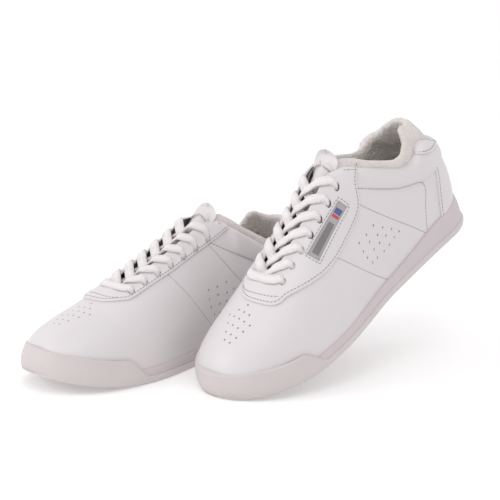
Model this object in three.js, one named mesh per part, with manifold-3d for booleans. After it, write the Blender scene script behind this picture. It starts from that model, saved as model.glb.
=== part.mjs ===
// A pair of lace-up cheer shoes, standing as a pair: the right shoe flat, the left one up on its toe.
// Millimetres, +Z up.  The toes point to -Y and the wearer's left is +X.
//
// One shoe is drawn once, in its own frame: x runs from the back of the heel to the toe, +y is the outer
// (lateral) side and z is height above the ground.  The right shoe is the mirror image of the left one.
// The upper follows one curved skin; every layer is that skin moved inwards by its own inset.

import * as THREE from 'three';
import { mergeVertices } from 'three/addons/utils/BufferGeometryUtils.js';
import Module from 'manifold-3d';

const wasm = await Module();
wasm.setup();

// ---- driving dimensions ---------------------------------------------------------------------------
const GAP = 0.35;                     // clearance between pieces that touch

const SOLE_LENGTH = 260;
const SOLE_TOE_SPRING = 13;           // the toe tip is this far off the ground
const SPRING_START = 185;             // the ball of the foot, where the sole starts to rise
const OUTSOLE_THICKNESS = 4.5;
const TREAD_GROOVE_DEPTH = 1.4;
const TREAD_GROOVE_WIDTH = 2.2;
const TOE_CUP_HEIGHT = 19;            // the rubber that wraps up round the toe
const TOE_CUP_START = 190;
const TOE_CUP_WALL = 3.4;
const EDGE_BEVEL = 1.2;

const LAST_LENGTH = 256.5;            // outer skin of the upper, heel to toe
const HEEL_ROUNDING = 34;             // length over which the heel end rounds in
const LATERAL_BALL = 176;             // widest stations of the upper
const MEDIAL_BALL = 188;

const LEATHER = 1.5;
const LINING = 1.1;
const LINING_INSET = 3.1;             // where the lining hangs close to the leather
const COLLAR_PADDING = 6.6;           // inset of the terry lining at the collar
const TONGUE_INSET = 9.2;
const TONGUE_LEATHER = 1.3;
const TONGUE_FOAM = 2.6;
const TONGUE_TERRY = 1;
const TONGUE_RISE = 12;               // the tongue's end stands this far out of the collar
const COLLAR_ROLL_RADIUS = 4.1;
const LEATHER_BELOW_ROLL = 4.8;       // the quarters end under the rolled terry edge
const INSOLE_INSET = LINING_INSET + LINING + 2.6;
const INSOLE_BOARD = 2.4;
const FOOTBED_TOP = 6.5;
const TOE_ROOM = 6;                   // the board and the footbed stop short of the low toe
const COUNTER = 0.9;                  // stiffeners of the heel and of the toe
const PUFF = 0.8;

const EYELETS = 7;
const EYELET_FRONT = [182, 14.6];     // x, y of the front pair
const EYELET_PITCH = 11.8;
const EYELET_RADIUS = 2.7;
const THROAT_FRONT = 186.5;
const THROAT_HALF_WIDTH = 8;
const STAY_OVERHANG = 10;             // the eyestay reaches this far past the leather under it
const LACE_RADIUS = 1.6;
const LACE_UNDER = 6.4;               // insets of the lace below and above the eyelet rows
const LACE_OVER = -4.9;
const CROSSING_LIFT = 2.1;            // half the height between two strands where they cross

const BADGE_FROM = [114.6, 82.2];     // ends of the label's middle line, in the side view
const BADGE_TO = [157, 62.4];
const BADGE_HALF_WIDTH = 3.4;

const STANCE_WIDTH = 95.5;            // between the two shoes, toe line to toe line
const STANCE_STAGGER = 86.4;          // the left shoe stands this far behind the right one
const LEFT_HEEL_RAISE = THREE.MathUtils.degToRad(25.8);
const LEFT_TOE_OUT = THREE.MathUtils.degToRad(-1.7);
const PIVOT = 225;                    // x of the point about which the shoes are placed

const STATIONS = 12;                  // mesh density along the shoe and over the instep
const SLAB_STATIONS = 20;
const TONGUE_STATIONS = 22;
const ARCS = 5;
const ARC_CROWDING = 1.5;             // above 1, the points crowd towards the feather line

// ---- profiles of the shoe: value against x, or against z for the back of the heel -------------------
const ridgeHeight = curve([[0, 100], [40, 112], [80, 116], [105, 107.5], [125, 95], [150, 80], [180, 64],
  [205, 52.5], [228, 44.5], [244, 37.5], [252, 31], [256.5, 24]]);
const featherHeight = curve([[0, 22.5], [40, 21], [75, 16], [110, 12.4], [185, 10.8], [222, 13], [256.5, 24]]);
const lateralWidth = curve([[0, 31], [38, 31], [105, 33], [176, 43], [260, 43]]);
const medialWidth = curve([[0, 31], [38, 31], [105, 29.5], [188, 43.5], [260, 43.5]]);
const soleLateral = curve([[0, 34.5], [38, 34.5], [105, 36.5], [176, 45.8], [260, 45.8]]);
const soleMedial = curve([[0, 34.5], [38, 34.5], [105, 32.5], [188, 46.4], [260, 46.4]]);
const roundness = curve([[0, 3.2], [60, 3], [110, 2.2], [150, 1.95], [200, 2.1], [257, 2.3]]);
const sideFlatness = curve([[0, 2.6], [60, 2.4], [110, 1.9], [150, 1.9], [200, 2.2], [257, 2.2]]);
const heelLean = curve([[15, 4.5], [28, 2], [42, 1], [60, 3.5], [78, 9], [97, 17], [125, 28]]);
const collarTop = curve([[0, 96], [7, 95], [15, 89], [24, 80.5], [34, 74.6], [44, 73.6], [53, 75], [63, 79],
  [76, 86.5], [90, 95], [101, 100.5], [112, 103]]);

// ---- small mathematics ----------------------------------------------------------------------------
function smooth(t) {
  const s = Math.min(Math.max(t, 0), 1);
  return s * s * (3 - 2 * s);
}

// A smooth curve through stations that never swings past them (monotone cubic).
function curve(stations) {
  const n = stations.length;
  const slope = [];
  for (let i = 0; i < n - 1; i++) {
    slope.push((stations[i + 1][1] - stations[i][1]) / (stations[i + 1][0] - stations[i][0]));
  }
  const tangent = stations.map((_, i) => {
    if (i === 0 || i === n - 1 || slope[i - 1] * slope[i] <= 0) {
      return i === 0 ? slope[0] : i === n - 1 ? slope[n - 2] : 0;
    }
    return 2 / (1 / slope[i - 1] + 1 / slope[i]);
  });
  return (at) => {
    const x = Math.min(Math.max(at, stations[0][0]), stations[n - 1][0]);
    let i = 0;
    while (i < n - 2 && x > stations[i + 1][0]) i++;
    const h = stations[i + 1][0] - stations[i][0];
    const t = (x - stations[i][0]) / h;
    return (2 * t ** 3 - 3 * t ** 2 + 1) * stations[i][1] + (t ** 3 - 2 * t ** 2 + t) * h * tangent[i]
      + (3 * t ** 2 - 2 * t ** 3) * stations[i + 1][1] + (t ** 3 - t ** 2) * h * tangent[i + 1];
  };
}

// ---- the skin of the upper --------------------------------------------------------------------------
function endRounding(x, start, length, widest) {
  const heel = Math.min(Math.max(1 - (x - start) / HEEL_ROUNDING, 0), 1);
  const toe = Math.min(Math.max((x - widest) / (length - widest), 0), 1);
  return Math.max(1 - heel ** 2.3, 0) ** (1 / 2.1) * Math.sqrt(Math.max(1 - toe ** 2.6, 0));
}

function upperHalfWidth(x, side, inset) {
  const width = side > 0 ? lateralWidth(x) : medialWidth(x);
  const widest = side > 0 ? LATERAL_BALL : MEDIAL_BALL;
  return (width - inset) * endRounding(x, inset, LAST_LENGTH - inset, widest);
}

// The back of the heel leans forward with height.
function leanOf(x, z) {
  return heelLean(z) * (1 - smooth(x / 75));
}

// A point of the skin: turn 0 is the lateral edge, a quarter turn the ridge, a half turn the medial edge.
function skin(x, turn, inset) {
  const side = turn <= Math.PI / 2 ? 1 : -1;
  const rise = Math.max(Math.sin(turn), 0) ** (2 / roundness(x));
  const out = Math.abs(Math.cos(turn)) ** (2 / sideFlatness(x));
  const bottom = featherHeight(x) + GAP;
  const z = bottom + (ridgeHeight(x) - inset - bottom) * rise;
  return new THREE.Vector3(x + leanOf(x, z), side * upperHalfWidth(x, side, inset) * out, z);
}

// The point of the skin at height z on one side.
function skinAtHeight(x, side, z, inset) {
  const bottom = featherHeight(x) + GAP;
  const rise = Math.min(Math.max((z - bottom) / (ridgeHeight(x) - inset - bottom), 0), 1);
  const turn = Math.asin(rise ** (roundness(x) / 2));
  return skin(x, side > 0 ? turn : Math.PI - turn, inset);
}

// The point of the skin at distance y from the middle, near the ridge.
function skinAtWidth(x, y, inset) {
  const side = y < 0 ? -1 : 1;
  const out = Math.min(Math.abs(y) / upperHalfWidth(x, side, inset), 1);
  const turn = Math.acos(out ** (sideFlatness(x) / 2));
  return skin(x, side > 0 ? turn : Math.PI - turn, inset);
}

// ---- solids ---------------------------------------------------------------------------------------
function solid(geometry) {
  let source = geometry;
  if (geometry.getAttribute('normal') || geometry.getAttribute('uv')) {
    source = geometry.clone();
    source.deleteAttribute('normal');
    source.deleteAttribute('uv');
    source = mergeVertices(source, 1e-4);
  }
  const mesh = new wasm.Mesh({
    numProp: 3,
    vertProperties: new Float32Array(source.getAttribute('position').array),
    triVerts: new Uint32Array(source.getIndex().array),
  });
  return new wasm.Manifold(mesh);
}

// Rings of points joined into a skin.  The first and the last are capped by strips across the ring.
function loft(rings) {
  const count = rings[0].length;
  const positions = rings.flat().flatMap((p) => [p.x, p.y, p.z]);
  const faces = [];
  for (let i = 0; i < rings.length - 1; i++) {
    for (let j = 0; j < count; j++) {
      const a = i * count + j;
      const b = i * count + (j + 1) % count;
      faces.push([a, b, b + count], [a, b + count, a + count]);
    }
  }
  const last = (rings.length - 1) * count;
  for (let j = 0; j < Math.floor(count / 2); j++) {
    const [a, b, c, d] = [j, j + 1, count - 2 - j, count - 1 - j];
    const corners = c > b ? [[a, b, d], [b, c, d]] : c === b ? [[a, b, d]] : [];
    for (const [p, q, r] of corners) faces.push([r, q, p], [last + p, last + q, last + r]);
  }
  const geometry = new THREE.BufferGeometry();
  geometry.setAttribute('position', new THREE.Float32BufferAttribute(positions, 3));
  geometry.setIndex(faces.flat());
  return solid(geometry);
}

// Stations from heel to toe, closer together at the rounded ends.
function stations(start, end, count = STATIONS) {
  return Array.from({ length: count + 1 }, (_, i) => {
    const u = 0.5 - 0.5 * Math.cos(Math.PI * (0.02 + 0.96 * i / count));
    return start + (end - start) * u;
  });
}

// Everything under the skin at an inset, down to the feather line and below it by the skirt.
// The inset may vary with the point.
function dome(inset, skirt = 0, count = STATIONS) {
  const at = typeof inset === 'function' ? (x, turn) => inset(skin(x, turn, 0)) : () => inset;
  return loft(stations(0, 1, count).map((u) => {
    const ring = [];
    for (let j = -ARCS; j <= ARCS; j++) {
      const turn = Math.PI / 2 * (1 + Math.sign(j) * (1 - (1 - Math.abs(j) / ARCS) ** ARC_CROWDING));
      const moved = at(LAST_LENGTH * u, turn);
      ring.push(skin(moved + (LAST_LENGTH - 2 * moved) * u, turn, moved));
    }
    if (skirt > 0) {
      const below = (p) => new THREE.Vector3(p.x, p.y, p.z - skirt);
      ring.push(below(ring[ring.length - 1]));
      ring.unshift(below(ring[0]));
    }
    return ring;
  }));
}

function shell(outer, inner) {
  return dome(outer).subtract(dome(inner, 1));
}

// A slab that follows the sole: its outline, and its underside and top as heights along the shoe.
function slab(halfWidth, start, end, under, top, bevelUnder = 0, bevelTop = 0, leaning = 0) {
  const rings = stations(start, end, SLAB_STATIONS).map((x) => {
    const [low, high] = [under(x), top(x)];
    const lateral = halfWidth(x, 1);
    const medial = -halfWidth(x, -1);
    const point = (y, z) => new THREE.Vector3(x + leaning * leanOf(x, z), y, z);
    const inner = (bevel) => Math.min(bevel, lateral * 0.4);
    return [
      point(lateral - inner(bevelUnder), low), point(lateral, low + bevelUnder),
      point(lateral, high - bevelTop), point(lateral - inner(bevelTop), high),
      point(medial + inner(bevelTop), high), point(medial, high - bevelTop),
      point(medial, low + bevelUnder), point(medial + inner(bevelUnder), low),
    ];
  });
  const kept = [bevelUnder > 0, true, true, bevelTop > 0, true, bevelTop > 0, bevelUnder > 0, true];
  return loft(rings.map((ring) => ring.filter((_, i) => kept[i])));
}

function extruded(points, depth) {
  const shape = new THREE.Shape(points.map(([a, b]) => new THREE.Vector2(a, b)));
  return new THREE.ExtrudeGeometry(shape, { depth, bevelEnabled: false, steps: 1 });
}

// A prism across the shoe whose outline is drawn in the side view, from y = from to y = to.
function sidePrism(points, from, to) {
  const geometry = extruded(points, to - from);
  geometry.rotateX(Math.PI / 2);
  geometry.translate(0, to, 0);
  return solid(geometry);
}

// A prism through the shoe whose outline is drawn in the plan.
function planPrism(points, from, to) {
  const geometry = extruded(points, to - from);
  geometry.translate(0, 0, from);
  return solid(geometry);
}

function through(points, count) {
  return new THREE.SplineCurve(points.map(([a, b]) => new THREE.Vector2(a, b))).getPoints(count)
    .map((p) => [p.x, p.y]);
}

// A round bar along a chain of points, bent smoothly at each of them.
function bar(points, radius, sides = 8) {
  const tangents = points.map((p, i) => {
    const before = points[Math.max(i - 1, 0)];
    const after = points[Math.min(i + 1, points.length - 1)];
    return after.clone().sub(before).normalize();
  });
  const across = new THREE.Vector3(1, 0.3, 0.2).cross(tangents[0]).normalize();
  return loft(points.map((p, i) => {
    const along = tangents[i];
    across.addScaledVector(along, -across.dot(along)).normalize();
    const up = along.clone().cross(across);
    return Array.from({ length: sides }, (_, k) => {
      const turn = 2 * Math.PI * k / sides;
      return p.clone().addScaledVector(across, radius * Math.cos(turn))
        .addScaledVector(up, radius * Math.sin(turn));
    });
  }));
}

function joined(solids) {
  return solids.reduce((whole, piece) => whole.add(piece));
}

// ---- outlines that divide the upper -----------------------------------------------------------------
const FAR = 90;                       // reaches past the shoe in any direction
const VAMP_SEAM = [[172, 96], [151, 66], [143, 55], [133, 42], [122, 28], [108, 12], [100, 2]];
const QUARTER_SEAM = [[125, 102], [110, 81], [97, 64], [84, 49], [70, 34], [56, 18], [46, 6]];
const COLLAR_SEAM = [[118, 96], [99, 82], [85, 73], [68, 63.5], [55, 58], [44, 54], [20, 52], [-12, 52]];
const LATERAL_STAY_EDGE = [[210, 48], [194, 51.4], [176, 52], [158, 52.4], [143, 55], [129, 60], [118, 65.5],
  [108, 72.5], [100, 82], [93, 89.5], [84, 97]];
const MEDIAL_STAY_EDGE = [[210, 48.5], [194, 53.5], [169, 62], [149, 69], [131, 76.4], [109, 86], [84, 99]];

function behind(seam, shift, sideFrom, sideTo) {
  const edge = through(seam, 10).map(([x, z]) => [x + shift, z]);
  return sidePrism([...edge, [edge[edge.length - 1][0], -FAR], [-FAR, -FAR], [-FAR, 2 * FAR],
    [edge[0][0], 2 * FAR]], sideFrom, sideTo);
}

function above(edge, shift, sideFrom, sideTo) {
  const line = through(edge, 12).map(([x, z]) => [x, z + shift]);
  const [first, last] = [line[0], line[line.length - 1]];
  return sidePrism([...line, [last[0], 2 * FAR], [first[0], 2 * FAR]], sideFrom, sideTo);
}

// What the collar line takes away, and the slot of the throat between the eyelet rows.
function collarOpening(drop) {
  const line = [];
  for (let x = 0; x <= 112; x += 7) {
    const z = collarTop(x) - drop;
    line.push([skinAtHeight(x, 1, z, 0).x, z]);
  }
  return sidePrism([[-FAR, line[0][1]], ...line, [126, 120], [126, 2 * FAR], [-FAR, 2 * FAR]], -FAR, FAR);
}

function throatOpening(widen = 0) {
  const half = THROAT_HALF_WIDTH + widen;
  const round = Array.from({ length: 7 }, (_, i) => {
    const turn = Math.PI * (i / 6 - 0.5);
    return [THROAT_FRONT - THROAT_HALF_WIDTH + half * Math.cos(turn), half * Math.sin(turn)];
  });
  return planPrism([[60, -half - 2.5], ...round, [60, half + 2.5]], 30, 150);
}

function eyelet(row, side) {
  const [x, y] = EYELET_FRONT;
  return { x: x - row * EYELET_PITCH, y: side * y };
}

function alongNormal(x, y, radius, sides) {
  const outer = skinAtWidth(x, y, -9);
  const inner = skinAtWidth(x, y * 0.97, 9);
  return bar([outer, inner], radius, sides);
}

function eyeletHoles() {
  const holes = [];
  for (let row = 0; row < EYELETS; row++) {
    for (const side of [1, -1]) {
      const { x, y } = eyelet(row, side);
      holes.push(alongNormal(x, y, EYELET_RADIUS, 6));
    }
  }
  return joined(holes);
}

// ---- the sole unit --------------------------------------------------------------------------------
function soleHalfWidth(x, side, inset = 0) {
  const width = side > 0 ? soleLateral(x) : soleMedial(x);
  const widest = side > 0 ? LATERAL_BALL : MEDIAL_BALL;
  return (width - inset) * endRounding(x, inset, SOLE_LENGTH - inset, widest);
}

function ground(x) {
  const t = Math.max((x - SPRING_START) / (SOLE_LENGTH - SPRING_START), 0);
  return SOLE_TOE_SPRING * t * t;
}

function toeCupTop(x) {
  const low = OUTSOLE_THICKNESS + 1;
  return ground(x) + low + (TOE_CUP_HEIGHT - low) * smooth((x - TOE_CUP_START) / 9);
}

function outsole() {
  const base = slab((x, side) => soleHalfWidth(x, side), 0, SOLE_LENGTH, ground,
    (x) => ground(x) + OUTSOLE_THICKNESS, EDGE_BEVEL);
  const cupStart = TOE_CUP_START - 2;
  const cup = slab((x, side) => soleHalfWidth(x, side), cupStart, SOLE_LENGTH,
    (x) => ground(x) + 1.5, toeCupTop, 0, EDGE_BEVEL);
  const grooves = [];
  for (const x of [44, 160, 176, 192, 208]) {
    const box = new THREE.BoxGeometry(TREAD_GROOVE_WIDTH, 2 * FAR, 2 * TREAD_GROOVE_DEPTH);
    box.translate(x, 0, ground(x));
    grooves.push(solid(box));
  }
  return joined([base, cup.subtract(midsoleBlock(TOE_CUP_WALL - GAP, 1)).subtract(dome(-GAP, 4))])
    .subtract(joined(grooves));
}

function midsoleBlock(inset, raise) {
  return slab((x, side) => soleHalfWidth(x, side, inset * smooth((x - 180) / 8) + GAP),
    GAP, SOLE_LENGTH - GAP - inset, (x) => ground(x) + OUTSOLE_THICKNESS + GAP - raise,
    (x) => featherHeight(x) + raise * 0.35);
}

function midsole() {
  const clear = slab((x, side) => soleHalfWidth(x, side), TOE_CUP_START - 3, SOLE_LENGTH,
    (x) => ground(x) + 1, (x) => toeCupTop(x) + GAP);
  const core = midsoleBlock(TOE_CUP_WALL + GAP, 0);
  const inside = slab((x, side) => soleHalfWidth(x, side, TOE_CUP_WALL + GAP), 150,
    SOLE_LENGTH - TOE_CUP_WALL - GAP, (x) => ground(x), (x) => featherHeight(x) + 5);
  return core.subtract(clear.subtract(inside));
}

// ---- linings and stiffeners -------------------------------------------------------------------------
// The lining hangs close to the leather, and stands off it behind the padded collar.
function liningInset(point) {
  const padded = smooth((point.z - 42) / 16) * (1 - smooth((point.x - 70) / 34));
  return LINING_INSET + (COLLAR_PADDING - LINING_INSET) * padded;
}

// The board and the footbed fill the lining.
function insoleHalfWidth(x, side) {
  return upperHalfWidth(x, side, INSOLE_INSET + TOE_ROOM * smooth((x - 205) / 45));
}

function insoleSlab(under, top, bevel) {
  return slab(insoleHalfWidth, INSOLE_INSET, LAST_LENGTH - INSOLE_INSET - TOE_ROOM,
    (x) => featherHeight(x) + under, (x) => featherHeight(x) + top(x), 0, bevel, 1);
}

const insoleBoard = () => insoleSlab(2 * GAP, () => INSOLE_BOARD, 0);
const footbed = () => insoleSlab(INSOLE_BOARD + GAP, (x) => FOOTBED_TOP + 2 * smooth((40 - x) / 30), 1.5);

function collarRollPath() {
  const xs = [86.5, 79, 70, 60, 50, 41, 32, 24, 17, 11, 7.5, 5.2];
  const inset = (x) => 4.6 + 1.8 * smooth((x - 66) / 22);
  const sideOf = (side) => xs.map((x) => skinAtHeight(x, side, collarTop(x) - 1.5, inset(x)));
  return [...sideOf(1), ...sideOf(-1).reverse()];
}

function collarRoll(radius) {
  return bar(collarRollPath(), radius, 7);
}

// ---- tongue ---------------------------------------------------------------------------------------
// It lies under the laces, and its end stands up in front of the ankle.
function tongueLayer(depth, thickness, margin) {
  const inset = (d) => (point) => TONGUE_INSET + d - TONGUE_RISE * smooth((102 - point.x) / 12);
  const outline = [[92, 10], [96, 12], [122, 13], [150, 18.6], [188, 14], [193, 7]];
  const edge = outline.map(([x, y], i) => [x + (i < 2 ? margin : i > 3 ? -margin : 0), y - margin]);
  const strip = planPrism([...edge, ...edge.map(([x, y]) => [x, -y]).reverse()], 20, 130);
  return dome(inset(depth), 0, TONGUE_STATIONS).subtract(dome(inset(depth + thickness), 1, TONGUE_STATIONS))
    .intersect(strip);
}

// ---- lace and label ---------------------------------------------------------------------------------
// One strand from under the far row, across the tongue, over the near edge and down its eyelet.
function strand(row, side, lift) {
  const from = eyelet(row, -side);
  const to = eyelet(row + 1, side);
  const at = (t, y, inset) => skinAtWidth(from.x + (to.x - from.x) * t, y, inset);
  return [
    at(0.16, -side * 8.6, 5),
    at(0.48, 0, 1.2 - lift),
    at(0.78, side * 8.4, LACE_OVER - 0.1),
    at(0.95, side * 12.6, LACE_OVER + 0.1),
    at(1, side * 14.8, -1.6),
    at(1, side * 14.7, 3.2),
    at(1, side * 12.6, LACE_UNDER),
  ];
}

function lacePath() {
  const half = (start) => {
    const points = [];
    let side = start;
    for (let row = 0; row < EYELETS - 1; row++) {
      points.push(...strand(row, -side, side < 0 ? CROSSING_LIFT : -CROSSING_LIFT));
      side = -side;
    }
    points.push(skinAtWidth(109, side * 15.5, LACE_UNDER + 0.2));
    points.push(skinAtWidth(112, side * 20.5, LACE_UNDER + 0.4));
    points.push(skinAtWidth(122, side * 22.3, LACE_UNDER + 0.4));
    return points;
  };
  const firstBar = (side) => {
    const at = (y, inset) => skinAtWidth(EYELET_FRONT[0], side * y, inset);
    return [at(7.6, LACE_OVER), at(12.6, LACE_OVER + 0.1), at(14.8, -1.6), at(14.7, 3.2), at(12.6, LACE_UNDER)];
  };
  return [...half(-1).reverse(), ...firstBar(-1).reverse(), skinAtWidth(EYELET_FRONT[0], 0, LACE_OVER),
    ...firstBar(1), ...half(1)];
}

function laceTip(side) {
  const path = [123.2, 131, 139].map((x) => skinAtWidth(x, side * 22.6, LACE_UNDER + 0.5));
  return bar(path, 1.35);
}

// The label's outline in the side view, drawn in by a margin.
function labelOutline(margin) {
  const from = new THREE.Vector2(...BADGE_FROM);
  const to = new THREE.Vector2(...BADGE_TO);
  const along = to.clone().sub(from).normalize();
  const across = new THREE.Vector2(-along.y, along.x);
  const corner = (end, way, sign) => end.clone().addScaledVector(along, way * margin)
    .addScaledVector(across, sign * (BADGE_HALF_WIDTH - margin)).toArray();
  return [corner(from, 1, 1), corner(from, 1, -1), corner(to, -1, -1), corner(to, -1, 1)];
}

// ---- the pieces of one shoe -------------------------------------------------------------------------
const COLOURS = {
  leather: { color: '#eeecf1', roughness: 0.5 },
  stay: { color: '#f1eff4', roughness: 0.48 },
  rubber: { color: '#ece6ea', roughness: 0.6 },
  foamSole: { color: '#e6e1ea', roughness: 0.7 },
  terry: { color: '#dcd8d6', roughness: 0.95 },
  lace: { color: '#f4f2f2', roughness: 0.85 },
  foam: { color: '#e9e4cf', roughness: 0.95 },
  board: { color: '#c9b79a', roughness: 0.9 },
  stiffener: { color: '#cfd0cc', roughness: 0.7 },
  label: { color: '#b9b8bd', roughness: 0.8 },
  aglet: { color: '#f2f2f4', roughness: 0.25 },
};

function buildShoe() {
  const opening = collarOpening(0);
  const roll = collarRoll(COLLAR_ROLL_RADIUS + GAP);
  const lateral = [GAP / 2, FAR];
  const medial = [-FAR, -GAP / 2];
  const open = (piece) => piece.subtract(opening).subtract(throatOpening(STAY_OVERHANG));

  // leather, cut into its panels
  const leather = open(shell(0, LEATHER)).subtract(collarOpening(LEATHER_BELOW_ROLL)).subtract(roll);
  const behindVamp = behind(VAMP_SEAM, 0, -FAR, FAR);
  const vamp = leather.subtract(behindVamp);
  const middle = leather.intersect(behind(VAMP_SEAM, -GAP, -FAR, FAR))
    .subtract(behind(QUARTER_SEAM, 0, -FAR, FAR));
  const rear = leather.intersect(behind(QUARTER_SEAM, -GAP, -FAR, FAR));
  const half = ([from, to]) => sidePrism([[-FAR, -FAR], [4 * FAR, -FAR], [4 * FAR, 2 * FAR], [-FAR, 2 * FAR]],
    from, to);

  // overlays on the leather
  const overlay = shell(-LEATHER - GAP, -GAP);
  const stayFront = planPrism([[204, -9], [204, 9], [201, 16], [195, 21], [186, 30], [60, 50], [60, -50],
    [186, -30], [195, -21], [201, -16]], 30, 150);
  const stay = overlay.subtract(opening).subtract(roll).subtract(throatOpening()).subtract(eyeletHoles())
    .intersect(stayFront)
    .intersect(above(LATERAL_STAY_EDGE, 0, 0, FAR).add(above(MEDIAL_STAY_EDGE, 0, -FAR, 0)));
  const window = sidePrism(labelOutline(0), 5, FAR);
  const badge = shell(-LEATHER * 0.5 - GAP, -GAP).intersect(sidePrism(labelOutline(GAP), 5, FAR));
  const tabLine = [[44, 79], [37, 75], [28, 70], [16, 66.5], [-12, 64]];
  const heelTab = overlay.subtract(opening).subtract(roll).intersect(above(tabLine, 0, -FAR, FAR));
  const stripEdge = [[23, 66], [22, 58], [24, 44], [28, 30], [31, 16]];
  const backstay = overlay.subtract(opening).intersect(behind(stripEdge, 0, -FAR, FAR))
    .subtract(above(tabLine, -GAP, -FAR, FAR));

  // padding, stiffeners and linings
  const band = above(COLLAR_SEAM, 0, -FAR, FAR);
  const tongueRoom = planPrism([[86, -22], [112, -22], [112, 22], [86, 22]], 40, 150);
  const foam = dome(LEATHER + GAP).subtract(dome((p) => liningInset(p) - GAP, 1))
    .subtract(opening).subtract(roll).subtract(throatOpening(STAY_OVERHANG)).subtract(tongueRoom)
    .intersect(band).intersect(behind([[104, 140], [104, 100], [96, 60], [90, 0]], 0, -FAR, FAR));
  const counter = shell(LEATHER + GAP, LEATHER + GAP + COUNTER).subtract(above(COLLAR_SEAM, -GAP, -FAR, FAR))
    .intersect(behind([[58, 120], [56, 60], [64, 30], [72, 2]], 0, -FAR, FAR));
  const puff = shell(LEATHER + GAP, LEATHER + GAP + PUFF)
    .intersect(planPrism([[226, -60], [231, 0], [226, 60], [300, 60], [300, -60]], 0, 90));
  const lining = dome((p) => liningInset(p)).subtract(dome((p) => liningInset(p) + LINING, 1));
  const liningSeam = [[140, 110], [128, 92], [118, 74], [106, 50], [96, 26], [90, 4]];
  const frontLining = open(lining).subtract(behind(liningSeam, 0, -FAR, FAR));
  const rearLining = open(lining).intersect(behind(liningSeam, -GAP, -FAR, FAR)).subtract(tongueRoom)
    .add(collarRoll(COLLAR_ROLL_RADIUS));

  return {
    outsole: [outsole(), 'rubber'],
    midsole: [midsole(), 'foamSole'],
    insole_board: [insoleBoard(), 'board'],
    footbed: [footbed(), 'terry'],
    toe_puff: [puff, 'stiffener'],
    heel_counter: [counter, 'stiffener'],
    vamp: [vamp, 'leather'],
    lateral_saddle: [middle.intersect(half(lateral)), 'leather'],
    medial_saddle: [middle.intersect(half(medial)), 'leather'],
    lateral_quarter: [rear.intersect(half(lateral)), 'leather'],
    medial_quarter: [rear.intersect(half(medial)), 'leather'],
    backstay: [backstay, 'stay'],
    heel_tab: [heelTab, 'stay'],
    eyestay: [stay.subtract(window), 'stay'],
    badge: [badge, 'label'],
    tongue: [tongueLayer(0, TONGUE_LEATHER, 0), 'leather'],
    tongue_padding: [tongueLayer(TONGUE_LEATHER + GAP, TONGUE_FOAM, 1.5), 'foam'],
    tongue_lining: [tongueLayer(TONGUE_LEATHER + TONGUE_FOAM + 2 * GAP, TONGUE_TERRY, 0.5), 'terry'],
    vamp_lining: [frontLining, 'terry'],
    collar_foam: [foam, 'foam'],
    collar_lining: [rearLining, 'terry'],
    lace: [bar(lacePath(), LACE_RADIUS, 6), 'lace'],
    lateral_lace_tip: [laceTip(1), 'aglet'],
    medial_lace_tip: [laceTip(-1), 'aglet'],
  };
}

// ---- the pair ---------------------------------------------------------------------------------------
function meshOf(name, piece, finish) {
  const { vertProperties, triVerts } = piece.getMesh();
  const geometry = new THREE.BufferGeometry();
  geometry.setAttribute('position', new THREE.BufferAttribute(new Float32Array(vertProperties), 3));
  geometry.setIndex(new THREE.BufferAttribute(new Uint32Array(triVerts), 1));
  geometry.computeVertexNormals();
  const mesh = new THREE.Mesh(geometry, new THREE.MeshStandardMaterial({ ...COLOURS[finish], metalness: 0 }));
  mesh.name = name;
  return mesh;
}

const shoe = buildShoe();

function shoeGroup(prefix) {
  const group = new THREE.Group();
  for (const [name, [piece, finish]] of Object.entries(shoe)) {
    group.add(meshOf(`${prefix}_${name}`, piece, finish));
  }
  group.position.x = -PIVOT;
  const foot = new THREE.Group();
  foot.add(group);
  return foot;
}

const right = shoeGroup('right');
right.scale.y = -1;
const left = shoeGroup('left');
left.rotation.set(0, LEFT_HEEL_RAISE, LEFT_TOE_OUT, 'ZYX');

const pair = new THREE.Group();       // the shoes side by side, toes to +x
pair.add(right, left);
left.position.set(-STANCE_STAGGER, STANCE_WIDTH, 0);
pair.rotation.z = -Math.PI / 2;

// The left toe rests on the ground, and the origin is the middle of the pair's footprint.
const group = new THREE.Group();
group.add(pair);
group.updateMatrixWorld(true);
left.position.z = -new THREE.Box3().setFromObject(left, true).min.z;
group.updateMatrixWorld(true);
const box = new THREE.Box3().setFromObject(group, true);
pair.position.set(-(box.min.x + box.max.x) / 2, -(box.min.y + box.max.y) / 2, -box.min.z);

export default group;
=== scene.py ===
"""A pair of white lace-up cheer shoes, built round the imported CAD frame.

One shoe is made in its own frame in millimetres, as in the CAD source: x from the back of the heel to the
toe, +y the outer side, z up.  The right shoe is its mirror image.  The upper is one curved skin, and a place
on it is (a, s): a is the length along the sole's outline from the heel, s the length down from the ridge,
positive on the outer side.  Every layer is the skin moved along its normal.
"""

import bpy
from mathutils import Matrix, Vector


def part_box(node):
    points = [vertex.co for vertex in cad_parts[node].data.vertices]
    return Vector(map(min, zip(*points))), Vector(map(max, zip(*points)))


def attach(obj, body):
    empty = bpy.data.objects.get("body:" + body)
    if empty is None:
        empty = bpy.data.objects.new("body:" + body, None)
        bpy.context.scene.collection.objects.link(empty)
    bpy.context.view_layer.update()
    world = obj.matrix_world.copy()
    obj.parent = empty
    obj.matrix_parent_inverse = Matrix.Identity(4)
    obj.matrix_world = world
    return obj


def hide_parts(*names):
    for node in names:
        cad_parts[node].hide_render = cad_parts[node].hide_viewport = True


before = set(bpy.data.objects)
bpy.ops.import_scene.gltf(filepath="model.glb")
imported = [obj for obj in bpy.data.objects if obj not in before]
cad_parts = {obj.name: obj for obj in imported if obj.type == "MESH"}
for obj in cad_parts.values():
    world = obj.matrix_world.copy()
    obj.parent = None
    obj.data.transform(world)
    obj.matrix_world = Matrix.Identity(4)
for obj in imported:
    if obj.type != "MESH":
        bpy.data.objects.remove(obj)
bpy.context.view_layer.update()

import math

import bmesh
import bpy
import numpy as np
from mathutils import Matrix, Vector
from mathutils.geometry import delaunay_2d_cdt

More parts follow.
